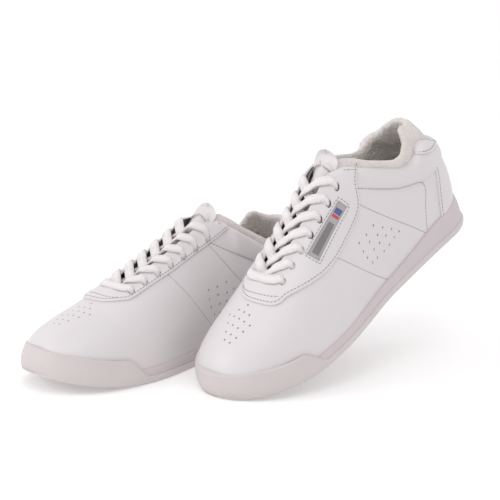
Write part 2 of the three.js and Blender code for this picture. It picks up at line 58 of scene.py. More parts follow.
# ---- driving dimensions, as in the CAD source, millimetres ------------------------------------------
SOLE_LENGTH = 260.0
SPRING_START, TOE_SPRING = 185.0, 13.0
OUTSOLE_THICKNESS = 4.5
TOE_CUP_HEIGHT, TOE_CUP_START = 19.0, 190.0
LAST_LENGTH = 256.5
HEEL_ROUNDING = 34.0
LATERAL_BALL, MEDIAL_BALL = 176.0, 188.0
GAP = 0.35
LEATHER = 1.5
EYELETS, EYELET_PITCH = 7, 11.9
EYELET_X, EYELET_Y = 183.2, 17.0
EYELET_RADIUS = 2.4
THROAT_FRONT, THROAT_HALF = 186.5, 8.0
STANCE_WIDTH, STANCE_STAGGER = 95.5, 86.4
HEEL_RAISE, TOE_OUT = math.radians(25.8), math.radians(-1.7)
PIVOT = 225.0


def smooth(t):
    t = np.clip(t, 0, 1)
    return t * t * (3 - 2 * t)


def curve(*stations):
    """A smooth curve through stations that never swings past them (monotone cubic)."""
    xs, ys = np.array(stations, float).T
    step = np.diff(xs)
    slope = np.diff(ys) / step
    tangent = np.zeros(len(xs))
    tangent[0], tangent[-1] = slope[0], slope[-1]
    same = slope[:-1] * slope[1:] > 0
    safe = np.where(same, slope[:-1] + slope[1:], 1)
    tangent[1:-1] = np.where(same, 2 * slope[:-1] * slope[1:] / safe, 0)

    def value(at):
        x = np.clip(at, xs[0], xs[-1])
        i = np.clip(np.searchsorted(xs, x, side="right") - 1, 0, len(step) - 1)
        t = (x - xs[i]) / step[i]
        return ((2 * t**3 - 3 * t**2 + 1) * ys[i] + (t**3 - 2 * t**2 + t) * step[i] * tangent[i]
                + (3 * t**2 - 2 * t**3) * ys[i + 1] + (t**3 - t**2) * step[i] * tangent[i + 1])
    return value


ridge_height = curve((0, 100), (40, 112), (80, 116), (105, 107.5), (125, 95), (150, 80), (180, 64),
                     (205, 52.5), (228, 44.5), (244, 37.5), (252, 31), (256.5, 24))
feather_height = curve((0, 22.5), (40, 21), (75, 16), (110, 12.4), (185, 10.8), (222, 13), (256.5, 24))
lateral_width = curve((0, 31), (38, 31), (105, 33), (176, 43), (260, 43))
medial_width = curve((0, 31), (38, 31), (105, 29.5), (188, 43.5), (260, 43.5))
sole_lateral = curve((0, 34.5), (38, 34.5), (105, 36.5), (176, 45.8), (260, 45.8))
sole_medial = curve((0, 34.5), (38, 34.5), (105, 32.5), (188, 46.4), (260, 46.4))
roundness = curve((0, 3.2), (60, 3), (110, 2.2), (150, 1.95), (200, 2.1), (257, 2.3))
side_flatness = curve((0, 2.6), (60, 2.4), (110, 1.9), (150, 1.9), (200, 2.2), (257, 2.2))
heel_lean = curve((15, 4.5), (28, 2), (42, 1), (60, 3.5), (78, 9), (97, 17), (125, 28))


def end_rounding(x, start, length, widest):
    heel = np.clip(1 - (x - start) / HEEL_ROUNDING, 0, 1)
    toe = np.clip((x - widest) / (length - widest), 0, 1)
    return np.maximum(1 - heel**2.3, 0)**(1 / 2.1) * np.sqrt(np.maximum(1 - toe**2.6, 0))


def upper_half_width(x, side, inset=0.0):
    width = np.where(side > 0, lateral_width(x), medial_width(x))
    widest = np.where(side > 0, LATERAL_BALL, MEDIAL_BALL)
    return (width - inset) * end_rounding(x, inset, LAST_LENGTH - inset, widest)


def lean_of(x, z):
    return heel_lean(z) * (1 - smooth(x / 75))


def skin(x, turn, side, inset=0.0):
    """The CAD skin: turn 0 is the feather edge and a quarter turn the ridge."""
    rise = np.maximum(np.sin(turn), 0)**(2 / roundness(x))
    out = np.abs(np.cos(turn))**(2 / side_flatness(x))
    bottom = feather_height(x) + GAP
    z = bottom + (ridge_height(x) - inset - bottom) * rise
    return np.stack([x + lean_of(x, z), side * upper_half_width(x, side, inset) * out, z], -1)


# ---- the skin as a table, so that layers can follow its true normals --------------------------------
LONG, ROUND = 420, 150


def build_table():
    k = np.linspace(0, np.pi, LONG)
    x = LAST_LENGTH * (1 - np.cos(k)) / 2
    halves, lengths = {}, {}
    turns = np.linspace(np.pi / 2, 0, ROUND * 2)
    for side in (1, -1):
        xs, ts = np.meshgrid(x, turns, indexing="ij")
        points = skin(xs, ts, np.full_like(xs, side))
        arc = np.zeros(xs.shape)
        arc[:, 1:] = np.cumsum(np.linalg.norm(np.diff(points, axis=1), axis=2), axis=1)
        lengths[side] = arc[:, -1]
        share = np.linspace(0, 1, ROUND)
        rows = np.empty((LONG, ROUND, 3))
        for i in range(LONG):
            for c in range(3):
                rows[i, :, c] = np.interp(share * arc[i, -1], arc[i], points[i, :, c])
        halves[side] = rows
    table = np.concatenate([halves[-1][:, :0:-1], halves[1]], axis=1)
    along = np.gradient(table, axis=0)
    across = np.gradient(table, axis=1)
    normal = np.cross(along, across)
    normal /= np.linalg.norm(normal, axis=2, keepdims=True) + 1e-12
    normal[0] = normal[0] + normal[0, ::-1]
    normal[0, :, 1] = 0
    normal[-1] = normal[-2]
    normal[-1, ROUND - 1:, 1], normal[-1, :ROUND, 1] = 0, 0
    normal /= np.linalg.norm(normal, axis=2, keepdims=True) + 1e-12
    edge = np.concatenate([[0], np.cumsum(np.linalg.norm(np.diff(halves[1][:, -1, :2], axis=0), axis=1))])
    return x, edge, lengths, table, normal


TABLE_X, TABLE_A, TABLE_S, TABLE_P, TABLE_N = build_table()
A_END = TABLE_A[-1]


def half_girth(a, side):
    index = np.interp(a, TABLE_A, np.arange(LONG))
    return np.where(side > 0, np.interp(index, np.arange(LONG), TABLE_S[1]),
                    np.interp(index, np.arange(LONG), TABLE_S[-1]))


def on_skin(a, s, height=0.0):
    """Points of the skin at (a, s), moved out along the normal.  Past the feather edge it runs straight down."""
    a, s = np.broadcast_arrays(np.asarray(a, float), np.asarray(s, float))
    girth = half_girth(a, s)
    share = np.clip(s / girth, -1, 1)
    i = np.clip(np.interp(a, TABLE_A, np.arange(LONG)), 0, LONG - 1.001)
    j = np.clip((share + 1) * (ROUND - 1), 0, 2 * (ROUND - 1) - 0.001)
    i0, j0 = i.astype(int), j.astype(int)
    u, v = (i - i0)[..., None], (j - j0)[..., None]

    def blend(table):
        return ((table[i0, j0] * (1 - u) + table[i0 + 1, j0] * u) * (1 - v)
                + (table[i0, j0 + 1] * (1 - u) + table[i0 + 1, j0 + 1] * u) * v)
    normal = blend(TABLE_N)
    normal /= np.linalg.norm(normal, axis=-1, keepdims=True) + 1e-12
    points = blend(TABLE_P) + normal * np.asarray(height, float)[..., None]
    points[..., 2] -= np.maximum(np.abs(s) - girth, 0)
    return points


def place(x, side, turn):
    """(a, s) of a lattice station and turn."""
    rise_points = np.linspace(np.pi / 2, turn, 60, axis=-1)
    xs = np.broadcast_to(np.asarray(x, float)[..., None], rise_points.shape)
    arc = np.linalg.norm(np.diff(skin(xs, rise_points, np.full(xs.shape, float(side))), axis=-2), axis=-1)
    return np.stack([np.interp(x, TABLE_X, TABLE_A), side * arc.sum(-1)], -1)


def from_side(x, z, side):
    """(a, s) of a point drawn in the side view."""
    x, z = np.asarray(x, float), np.asarray(z, float)
    station = x.copy()
    for _ in range(12):
        station = 0.5 * station + 0.5 * np.clip(x - lean_of(station, z), 0, LAST_LENGTH)
    bottom = feather_height(station) + GAP
    rise = np.clip((z - bottom) / (ridge_height(station) - bottom), 0, 1)
    flat = place(station, side, np.arcsin(rise**(roundness(station) / 2)))
    flat[..., 1] += side * np.maximum(bottom - z, 0)
    return flat


def from_plan(x, y):
    """(a, s) of a point drawn in the plan, near the ridge."""
    x, y = np.asarray(x, float), np.asarray(y, float)
    rows = []
    for xi, yi in zip(np.atleast_1d(x), np.atleast_1d(y)):
        side = -1 if yi < 0 else 1
        out = min(abs(yi) / float(upper_half_width(xi, side)), 1)
        rows.append(place(xi, side, np.arccos(out**(float(side_flatness(xi)) / 2))))
    return np.array(rows).reshape(x.shape + (2,))


def spline(points, spacing=1.0, closed=False):
    """A smooth line through points (centripetal Catmull-Rom), cut into even steps."""
    p = np.array(points, float)
    n = len(p)
    if closed:
        p = np.concatenate([p[-1:], p, p[:2]])
    else:
        p = np.concatenate([2 * p[:1] - p[1:2], p, 2 * p[-1:] - p[-2:-1]])
        n -= 1
    out = []
    for i in range(n):
        q = p[i:i + 4]
        knots = np.concatenate([[0], np.cumsum(np.sqrt(np.linalg.norm(np.diff(q, axis=0), axis=1)) + 1e-9)])
        t = np.linspace(knots[1], knots[2], 24, endpoint=False)[:, None]

        def mix(u, v, a, b):
            return ((b - t) * u + (t - a) * v) / (b - a)
        a1, a2, a3 = (mix(q[j], q[j + 1], knots[j], knots[j + 1]) for j in range(3))
        b1, b2 = mix(a1, a2, knots[0], knots[2]), mix(a2, a3, knots[1], knots[3])
        out.append(mix(b1, b2, knots[1], knots[2]))
    line = np.concatenate(out + ([p[1:2]] if closed else [p[-2:-1]]))
    return even(line, spacing)


def even(line, spacing):
    length = np.concatenate([[0], np.cumsum(np.linalg.norm(np.diff(line, axis=0), axis=1))])
    count = max(int(round(length[-1] / spacing)), 2)
    at = np.linspace(0, length[-1], count + 1)
    return np.stack([np.interp(at, length, line[:, c]) for c in range(line.shape[1])], -1)


# ---- meshes ---------------------------------------------------------------------------------------
def shoe_matrices():
    """Shoe frame in millimetres to the world in metres, for the right and the left shoe."""
    low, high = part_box("right_outsole")
    turn = Matrix.Rotation(-math.pi / 2, 4, "Z")
    heel, middle = high[1] * 1000, (low[0] + high[0]) * 500 - 0.3
    right = (Matrix.Translation((middle, heel - PIVOT, 0)) @ turn @ Matrix.Diagonal((1, -1, 1, 1))
             @ Matrix.Translation((-PIVOT, 0, 0)))
    tilt = Matrix.Rotation(TOE_OUT, 4, "Z") @ Matrix.Rotation(HEEL_RAISE, 4, "Y")
    left = (Matrix.Translation((middle, heel - PIVOT, 0)) @ turn
            @ Matrix.Translation((-STANCE_STAGGER, STANCE_WIDTH, 0)) @ tilt
            @ Matrix.Translation((-PIVOT, 0, 0)))
    cad_low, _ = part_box("left_outsole")
    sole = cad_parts["right_outsole"].data
    inverse = right.inverted()
    lowest = min((left @ (inverse @ (v.co * 1000))).z for v in sole.vertices)
    left = Matrix.Translation((0, 0, cad_low[2] * 1000 - lowest)) @ left
    return {"right": np.array(Matrix.Scale(0.001, 4) @ right), "left": np.array(Matrix.Scale(0.001, 4) @ left)}


MATRICES = shoe_matrices()
COLLECTION = bpy.data.collections.new("cheer_shoes")
bpy.context.scene.collection.children.link(COLLECTION)


def to_world(points, shoe):
    m = MATRICES[shoe]
    return points @ m[:3, :3].T + m[:3, 3]


def make(name, points, faces, material, body="shoe", replaces=(), smooth_angle=None, uv=None, weld=False,
         painted_shade=None):
    """The same piece on both shoes.  The right shoe's faces are turned round, because it is a mirror image."""
    made = []
    for shoe in ("right", "left"):
        placed = to_world(points, shoe)
        rows = [list(f)[::-1] for f in faces] if shoe == "right" else [list(f) for f in faces]
        mesh = bpy.data.meshes.new(f"{shoe}_{name}")
        mesh.from_pydata(placed.tolist(), [], rows)
        mesh.validate()
        if weld:
            work = bmesh.new()
            work.from_mesh(mesh)
            bmesh.ops.remove_doubles(work, verts=work.verts, dist=2e-6)
            bmesh.ops.dissolve_degenerate(work, edges=work.edges, dist=1e-7)
            work.to_mesh(mesh)
            work.free()
        if uv is not None:
            layer = mesh.uv_layers.new(name="UVMap")
            index = np.empty(len(mesh.loops), int)
            mesh.loops.foreach_get("vertex_index", index)
            layer.data.foreach_set("uv", np.asarray(uv, float)[index].ravel())
        # painted shade: a per-point value that darkens the terry, standing in for the shadow deep inside the shoe
        if painted_shade is not None:
            mesh.attributes.new("painted_shade", "FLOAT", "POINT").data.foreach_set("value", painted_shade.astype(np.float32))
        mesh.shade_smooth()
        if smooth_angle:
            mesh.set_sharp_from_angle(angle=math.radians(smooth_angle))
        mesh.materials.append(material)
        piece = bpy.data.objects.new(f"{shoe}_{name}", mesh)
        COLLECTION.objects.link(piece)
        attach(piece, f"{shoe}_{body}")
        if replaces:
            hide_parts(*[f"{shoe}_{n}" for n in replaces])
        made.append(piece)
    return made


def grid_faces(rows, columns, wrap_rows=False, wrap_columns=False, offset=0):
    i, j = np.meshgrid(np.arange(rows if wrap_rows else rows - 1),
                       np.arange(columns if wrap_columns else columns - 1), indexing="ij")
    i, j = i.ravel(), j.ravel()
    i1, j1 = (i + 1) % rows, (j + 1) % columns
    return (np.stack([i * columns + j, i1 * columns + j, i1 * columns + j1, i * columns + j1], -1)
            + offset).tolist()


def inside(points, polygon):
    """Which points lie inside a closed polygon."""
    result = np.zeros(len(points), bool)
    ax, ay = polygon.T
    bx, by = np.roll(polygon, -1, axis=0).T
    for start in range(0, len(points), 4000):
        p = points[start:start + 4000]
        crosses = (ay[None] > p[:, 1:]) != (by[None] > p[:, 1:])
        slope = (bx - ax) / np.where(by == ay, 1e-12, by - ay)
        result[start:start + 4000] = (crosses & (p[:, :1] < slope * (p[:, 1:] - ay) + ax)).sum(1) % 2 == 1
    return result


def distance(points, line, closed=True):
    """Distance of points to a line of straight steps."""
    a = line
    b = np.roll(line, -1, axis=0)
    if not closed:
        a, b = a[:-1], b[:-1]
    d = b - a
    square = (d * d).sum(1) + 1e-12
    result = np.empty(len(points))
    for start in range(0, len(points), 3000):
        p = points[start:start + 3000, None]
        t = np.clip(((p - a) * d).sum(2) / square, 0, 1)
        result[start:start + 3000] = np.sqrt(((p - a - t[..., None] * d)**2).sum(2).min(1))
    return result


def inset_ring(outline, depth):
    before, after = np.roll(outline, 1, axis=0), np.roll(outline, -1, axis=0)
    tangent = after - before
    tangent /= np.linalg.norm(tangent, axis=1, keepdims=True) + 1e-12
    area = (outline[:, 0] * after[:, 1] - after[:, 0] * outline[:, 1]).sum()
    return outline + np.stack([-tangent[:, 1], tangent[:, 0]], -1) * depth * np.sign(area)


def triangulate(outline, rings, holes, extra, spacing):
    """Triangles that fill an outline: rings follow its edge, and the holes are closed lines cut out of it."""
    bounds = [outline] + holes
    guides = [inset_ring(outline, d) for d in rings]
    guides += [inset_ring(hole, -d) for hole in holes for d in (0.18, 0.5, 1.0)]
    low, high = outline.min(0), outline.max(0)
    gx, gy = np.meshgrid(np.arange(low[0], high[0], spacing), np.arange(low[1], high[1], spacing * 0.866))
    gx[1::2] += spacing / 2
    fill = np.stack([gx.ravel(), gy.ravel()], -1)
    fill = fill[inside(fill, outline)]
    if len(extra):
        extra = extra[inside(extra, outline)]
        extra = extra[distance(extra, outline) > 0.25]
        for hole in holes:
            extra = extra[distance(extra, hole) > 0.25]
        near = np.zeros(len(fill), bool)
        for start in range(0, len(fill), 2000):
            gaps = np.linalg.norm(fill[start:start + 2000, None] - extra[None], axis=2)
            near[start:start + 2000] = gaps.min(1) < spacing * 0.5
        fill = fill[~near]
    fill = fill[distance(fill, outline) > rings[-1] + spacing * 0.4]
    for hole in holes:
        fill = fill[~inside(fill, hole) & (distance(fill, hole) > 1.0 + spacing * 0.35)]
    points, edges = [], []
    for loop in bounds:
        start = sum(len(p) for p in points)
        points.append(loop)
        edges += [(start + i, start + (i + 1) % len(loop)) for i in range(len(loop))]
    flat = np.concatenate(points + guides + [extra, fill])
    verts, _, faces, _, _, _ = delaunay_2d_cdt([Vector(p) for p in flat], edges, [], 0, 1e-5)
    flat = np.array([v[:] for v in verts])
    faces = np.array(faces)
    centre = flat[faces].mean(1)
    keep = inside(centre, outline)
    for hole in holes:
        keep &= ~inside(centre, hole)
    faces = faces[keep]
    e1, e2 = flat[faces[:, 1]] - flat[faces[:, 0]], flat[faces[:, 2]] - flat[faces[:, 0]]
    area = e1[:, 0] * e2[:, 1] - e1[:, 1] * e2[:, 0]
    faces[area < 0] = faces[area < 0][:, ::-1]
    faces = faces[np.abs(area) > 1e-7]
    used = np.unique(faces)
    index = np.full(len(flat), -1)
    index[used] = np.arange(len(used))
    return flat[used], index[faces]


def panel(outline, surface, base, thickness, edge=0.7, holes=(), relief=None, shape=None, extra=(), spacing=1.7):
    """A closed leather panel on surface(a, s, height), its edges rounded and its holes punched.

    base is the height of its under side.  shape moves both sides; relief only the outer one.
    """
    if (outline[:, 0] * np.roll(outline[:, 1], -1) - np.roll(outline[:, 0], -1) * outline[:, 1]).sum() < 0:
        outline = outline[::-1]
    holes = [np.asarray(h) for h in holes]
    flat, faces = triangulate(outline, [edge * 0.12, edge * 0.45, edge, edge + 0.9], holes,
                              np.asarray(extra, float).reshape(-1, 2), spacing)
    depth = distance(flat, outline)
    for hole in holes:
        depth = np.minimum(depth, distance(flat, hole) * 1.5)
    drop = edge - np.sqrt(np.maximum(edge**2 - np.maximum(edge - depth, 0)**2, 0))
    move = shape(flat) if shape is not None else np.zeros(len(flat))
    top = base + thickness - drop + move + (relief(flat) if relief is not None else 0)
    count = len(flat)
    points = np.concatenate([surface(flat[:, 0], flat[:, 1], top), surface(flat[:, 0], flat[:, 1], base + move)])
    faces = faces.tolist()
    single = set()
    for f in faces:
        for a, b in ((f[0], f[1]), (f[1], f[2]), (f[2], f[0])):
            if (b, a) in single:
                single.remove((b, a))
            else:
                single.add((a, b))
    walls = [[b, a, a + count, b + count] for a, b in single]
    return points, faces + [[i + count for i in f[::-1]] for f in faces] + walls




# ---- materials --------------------------------------------------------------------------------------
def material(name, colour, roughness, grain=0.0, grain_size=0.6, mottling=0.0, sheen=0.0, with_painted_shade=False):
    """A procedural finish.  grain is the bump's depth and grain_size its scale, both in millimetres."""
    made = bpy.data.materials.new(name)
    made.use_nodes = True
    nodes, links = made.node_tree.nodes, made.node_tree.links
    shader = nodes["Principled BSDF"]
    shader.inputs["Roughness"].default_value = roughness
    shader.inputs["Sheen Weight"].default_value = sheen
    shader.inputs["Sheen Roughness"].default_value = 0.5
    shader.inputs["Coat Weight"].default_value = 0.0
    place_of = nodes.new("ShaderNodeTexCoord")
    texture = nodes.new("ShaderNodeTexNoise")
    texture.inputs["Detail"].default_value = 3
    texture.inputs["Scale"].default_value = 1000 / grain_size
    links.new(place_of.outputs["Object"], texture.inputs["Vector"])
    bump = nodes.new("ShaderNodeBump")
    bump.inputs["Strength"].default_value = 1.0
    bump.inputs["Distance"].default_value = grain / 1000
    links.new(texture.outputs["Fac"], bump.inputs["Height"])
    links.new(bump.outputs["Normal"], shader.inputs["Normal"])
    broad = nodes.new("ShaderNodeTexNoise")
    broad.inputs["Scale"].default_value = 45
    broad.inputs["Detail"].default_value = 4
    links.new(place_of.outputs["Object"], broad.inputs["Vector"])
    ramp = nodes.new("ShaderNodeValToRGB")
    ramp.color_ramp.elements[0].position = 0.3
    ramp.color_ramp.elements[1].position = 0.7
    ramp.color_ramp.elements[0].color = tuple(c * (1 - mottling) for c in colour) + (1,)
    ramp.color_ramp.elements[1].color = tuple(colour) + (1,)
    links.new(broad.outputs["Fac"], ramp.inputs["Fac"])
    # painted shade: the base colour is mixed towards 30% of itself by the per-point painted shade value
    if with_painted_shade:
        depth = nodes.new("ShaderNodeAttribute")
        depth.attribute_name = "painted_shade"
        mix = nodes.new("ShaderNodeMix")
        mix.data_type = "RGBA"
        mix.inputs["B"].default_value = tuple(c * 0.3 for c in colour) + (1,)
        links.new(depth.outputs["Fac"], mix.inputs["Factor"])
        links.new(ramp.outputs["Color"], mix.inputs["A"])
        links.new(mix.outputs["Result"], shader.inputs["Base Color"])
    else:
        links.new(ramp.outputs["Color"], shader.inputs["Base Color"])
    return made


def woven(name, colour, roughness, across, along, depth):
    """A weave that follows the piece's UV map: u goes across in threads and v along."""
    made = material(name, colour, roughness, sheen=0.3)
    nodes, links = made.node_tree.nodes, made.node_tree.links
    bump = next(n for n in nodes if n.bl_idname == "ShaderNodeBump")
    uv = nodes.new("ShaderNodeUVMap")
    uv.uv_map = "UVMap"
    split = nodes.new("ShaderNodeSeparateXYZ")
    links.new(uv.outputs["UV"], split.inputs[0])

    def wave(value, count, shift=None):
        scaled = nodes.new("ShaderNodeMath")
        scaled.operation = "MULTIPLY_ADD"
        scaled.inputs[1].default_value = count * math.pi
        links.new(value, scaled.inputs[0])
        if shift is not None:
            links.new(shift, scaled.inputs[2])
        else:
            scaled.inputs[2].default_value = 0
        sine = nodes.new("ShaderNodeMath")
        sine.operation = "SINE"
        links.new(scaled.outputs[0], sine.inputs[0])
        return sine.outputs[0]
    warp = wave(split.outputs["X"], across)
    weft = wave(split.outputs["Y"], along)
    product = nodes.new("ShaderNodeMath")
    product.operation = "MULTIPLY"
    links.new(warp, product.inputs[0])
    links.new(weft, product.inputs[1])
    links.new(product.outputs[0], bump.inputs["Height"])
    bump.inputs["Distance"].default_value = depth / 1000
    return made


LEATHER_MATERIAL = material("white_leather", (0.62, 0.59, 0.595), 0.45, grain=0.035, grain_size=0.9,
                            mottling=0.02)
STAY_MATERIAL = material("overlay_leather", (0.625, 0.595, 0.605), 0.42, grain=0.03, grain_size=0.9, mottling=0.02)
RUBBER = material("pale_rubber", (0.565, 0.515, 0.515), 0.55, grain=0.05, grain_size=1.6, mottling=0.05)
FOAM_SOLE = material("midsole_foam", (0.54, 0.485, 0.50), 0.6, grain=0.04, grain_size=0.8, mottling=0.03)
# the terry lining; where a piece carries painted shade, it darkens deeper inside the shoe
TERRY = material("terry", (0.70, 0.655, 0.625), 0.95, grain=1.3, grain_size=1.5, mottling=0.10, sheen=0.35,
                 with_painted_shade=True)
# a darker copy of the terry: painted shade for the lining inside the shoe
TERRY_PAINTED_SHADE = material("terry_painted_shade", (0.45, 0.42, 0.40), 0.95, grain=0.9, grain_size=1.5, mottling=0.15,
                      sheen=0.2)
LACE_MATERIAL = woven("lace", (0.78, 0.745, 0.735), 0.85, 10, 1.6, 0.22)
THREAD = material("thread", (0.52, 0.49, 0.50), 0.8, grain=0.05, grain_size=0.5)
# a near-black finish: painted shade inside needle holes and punched holes
HOLE_PAINTED_SHADE = material("hole_painted_shade", (0.15, 0.13, 0.13), 0.9, grain=0.02)
LABEL = material("label", (0.37, 0.355, 0.36), 0.75, grain=0.08, grain_size=0.7, mottling=0.1)
LABEL_MARK = material("label_mark", (0.19, 0.18, 0.185), 0.75, grain=0.06, grain_size=0.6, mottling=0.1)
LABEL_BLUE = material("label_blue", (0.09, 0.11, 0.26), 0.75, grain=0.06, grain_size=0.6, mottling=0.1)
LABEL_RED = material("label_red", (0.50, 0.07, 0.08), 0.75, grain=0.06, grain_size=0.6, mottling=0.1)
BOARD = material("fibre_board", (0.58, 0.49, 0.36), 0.9, grain=0.1, grain_size=0.8, mottling=0.15)
STIFFENER = material("stiffener", (0.62, 0.62, 0.6), 0.7, grain=0.1, grain_size=0.8, mottling=0.1)
AGLET = material("lace_tip", (0.85, 0.85, 0.86), 0.25, grain=0.01, grain_size=2.0)


# ---- outlines that divide the upper ------------------------------------------------------------------
VAMP_SEAM = [(100, 2), (108, 12), (122, 28), (133, 42), (143, 55), (151, 66), (158, 76)]
QUARTER_SEAM = [(46, 6), (56, 18), (70, 34), (84, 49), (97, 64), (110, 81), (118, 92)]
LATERAL_STAY_EDGE = [(192, 52.4), (181, 52.4), (170, 52.2), (158, 52.4), (143, 55), (129, 60), (118, 64.6),
                     (110, 69.3), (105, 73.6), (102, 78.8), (99.5, 85), (96.5, 90), (92, 94.2), (86, 97)]
MEDIAL_STAY_EDGE = [(193, 53.6), (187, 55.4), (169, 62), (149, 69), (131, 76.4), (109, 85.6), (92, 94)]
HEEL_TAB_EDGE = [(44, 80), (37, 74.8), (31, 72.2), (24, 71), (14, 69.4), (6, 69)]
BACKSTAY_EDGE = [(31, 74), (28.5, 59), (32.5, 42), (36, 28), (38.5, 15)]
COLLAR_SEAM = {1: [(101, 84.6), (85, 74.8), (69, 65.6), (57, 60.8), (50, 58.6), (45, 56.2)],
               -1: [(112, 86), (99, 79), (85, 72), (68, 64.6), (57, 60.4), (50, 58.4), (45, 56.2)]}
COUNTER_SEAM = [(45, 56.2), (43.6, 53), (44.8, 46), (48, 40), (51.5, 30), (55, 18)]
leather_edge = curve((0, 72), (6, 73), (12, 77), (18, 82), (23, 83.2), (28, 82), (37, 77.5), (46, 74.8),
                     (53, 75.6), (63, 79.8), (76, 87.4), (90, 96.4), (101, 101.6), (112, 103.4))
TUCK = 1.6                            # the leather goes this far down inside the sole's edge
SKIVED = 0.55                         # rounding of the upper's cut edges
VENT_RADIUS, PLATE_RADIUS = 0.62, 0.68  # punched holes of the vamp and of the saddles
STAY_REVEAL = 0.4                     # the eyestay ends this far under the collar edge


def side_line(points, side, spacing=1.2):
    """A smooth line drawn in the side view, as (a, s)."""
    line = spline(points, spacing)
    return from_side(line[:, 0], line[:, 1], side)


def seam_line(points, side, top):
    """A seam from the feather edge up to the line z = top(x)."""
    line = spline(points, 0.8)
    line = line[line[:, 1] <= top(line[:, 0])]
    flat = from_side(line[:, 0], line[:, 1], side)
    return flat[np.abs(flat[:, 1]) <= half_girth(flat[:, 0], side) + TUCK]


def feather_line(a_from, a_to, side, tuck=TUCK):
    a = np.linspace(a_from, a_to, max(int(abs(a_to - a_from) / 1.4), 3))
    return np.stack([a, side * (half_girth(a, side) + tuck)], -1)


def collar_line(side, drop, x_from, x_to):
    x = np.linspace(x_from, x_to, max(int(abs(x_to - x_from) / 1.1), 4))
    z = leather_edge(x) - drop
    bottom = feather_height(x) + GAP
    rise = np.clip((z - bottom) / (ridge_height(x) - bottom), 0, 1)
    return place(x, side, np.arcsin(rise**(roundness(x) / 2)))


def join(*parts):
    """Polylines into one outline, without repeated points, in steps of about a millimetre."""
    line = np.concatenate(parts)
    keep = np.concatenate([[True], np.linalg.norm(np.diff(line, axis=0), axis=1) > 0.15])
    line = line[keep]
    if np.linalg.norm(line[0] - line[-1]) < 0.15:
        line = line[:-1]
    out = []
    for p, q in zip(line, np.roll(line, -1, axis=0)):
        count = max(int(np.linalg.norm(q - p) / 1.3), 1)
        out += [p + (q - p) * k / count for k in range(count)]
    return np.array(out)


def edge_of(points):
    xs, zs = np.array(sorted(points)).T
    return lambda x: np.interp(x, xs, zs)


def throat_line(half, front, x_back):
    """Round the throat from the lateral side to the medial one, in the plan."""
    x = np.arange(x_back, front - half, 1.2)
    lateral = [(xi, half + 2.5 * max(0, (front - half - xi) / 120)) for xi in x]
    round_end = [(front - half + half * math.sin(t), half * math.cos(t)) for t in np.linspace(0, math.pi, 15)]
    return from_plan(*np.array(lateral + round_end + [(xi, -yi) for xi, yi in lateral[::-1]]).T)


# ---- leather ----------------------------------------------------------------------------------------
def collar_depth(flat):
    """Millimetres below the collar line, and the height of the padded band there."""
    a, s = flat[:, 0], flat[:, 1]
    x = np.interp(a, TABLE_A, TABLE_X)
    side = np.where(s > 0, 1.0, -1.0)
    z = on_skin(a, s)[:, 2]
    seam_x = {k: np.array(sorted(COLLAR_SEAM[k])) for k in (1, -1)}
    world_x = on_skin(a, s)[:, 0]
    seam = np.where(side > 0, np.interp(world_x, *seam_x[1].T), np.interp(world_x, *seam_x[-1].T))
    top = leather_edge(x)
    return top - z, np.maximum(top - seam, 6.0), world_x


def collar_shape(flat):
    """The padding bulges between the collar seam and the edge, and the seam pulls the leather in."""
    below, band, world_x = collar_depth(flat)
    share = np.clip(below / band, 0, 1.3)
    bulge = 3.2 * np.sqrt(np.maximum(1 - (2 * share - 1)**2, 0)) * (share < 1) * smooth((97 - world_x) / 9)
    roll_in = -3.2 * smooth(1 - below / 5.0)
    return bulge * smooth(below / 3.5) + roll_in


def groove(lines, width=0.45, depth=0.4):
    def relief(flat):
        total = np.zeros(len(flat))
        for line in lines:
            total -= depth * np.exp(-(distance(flat, line, closed=False) / width)**2)
        return total
    return relief


def fine_points(lines, offsets=(-1.1, -0.5, 0.0, 0.5, 1.1), step=0.9):
    """Extra mesh points along pressed or sewn lines."""
    out = []
    for line in lines:
        line = even(line, step)
        tangent = np.gradient(line, axis=0)
        tangent /= np.linalg.norm(tangent, axis=1, keepdims=True) + 1e-9
        across = np.stack([-tangent[:, 1], tangent[:, 0]], -1)
        out += [line + across * d for d in offsets]
    return np.concatenate(out) if out else np.zeros((0, 2))


def circle(at, radius, count=12):
    turn = np.arange(count) * 2 * np.pi / count
    return np.stack([at[0] + radius * np.cos(turn), at[1] + radius * np.sin(turn)], -1)


STITCH_PITCH, STITCH_LENGTH = 2.7, 1.7


# along one stitch: share of its length, half its thickness, height over the leather
THREAD_SHAPE = ((0, 0.12, -0.12), (0.15, 0.3, 0.06), (0.5, 0.34, 0.14), (0.85, 0.3, 0.06), (1, 0.12, -0.12))


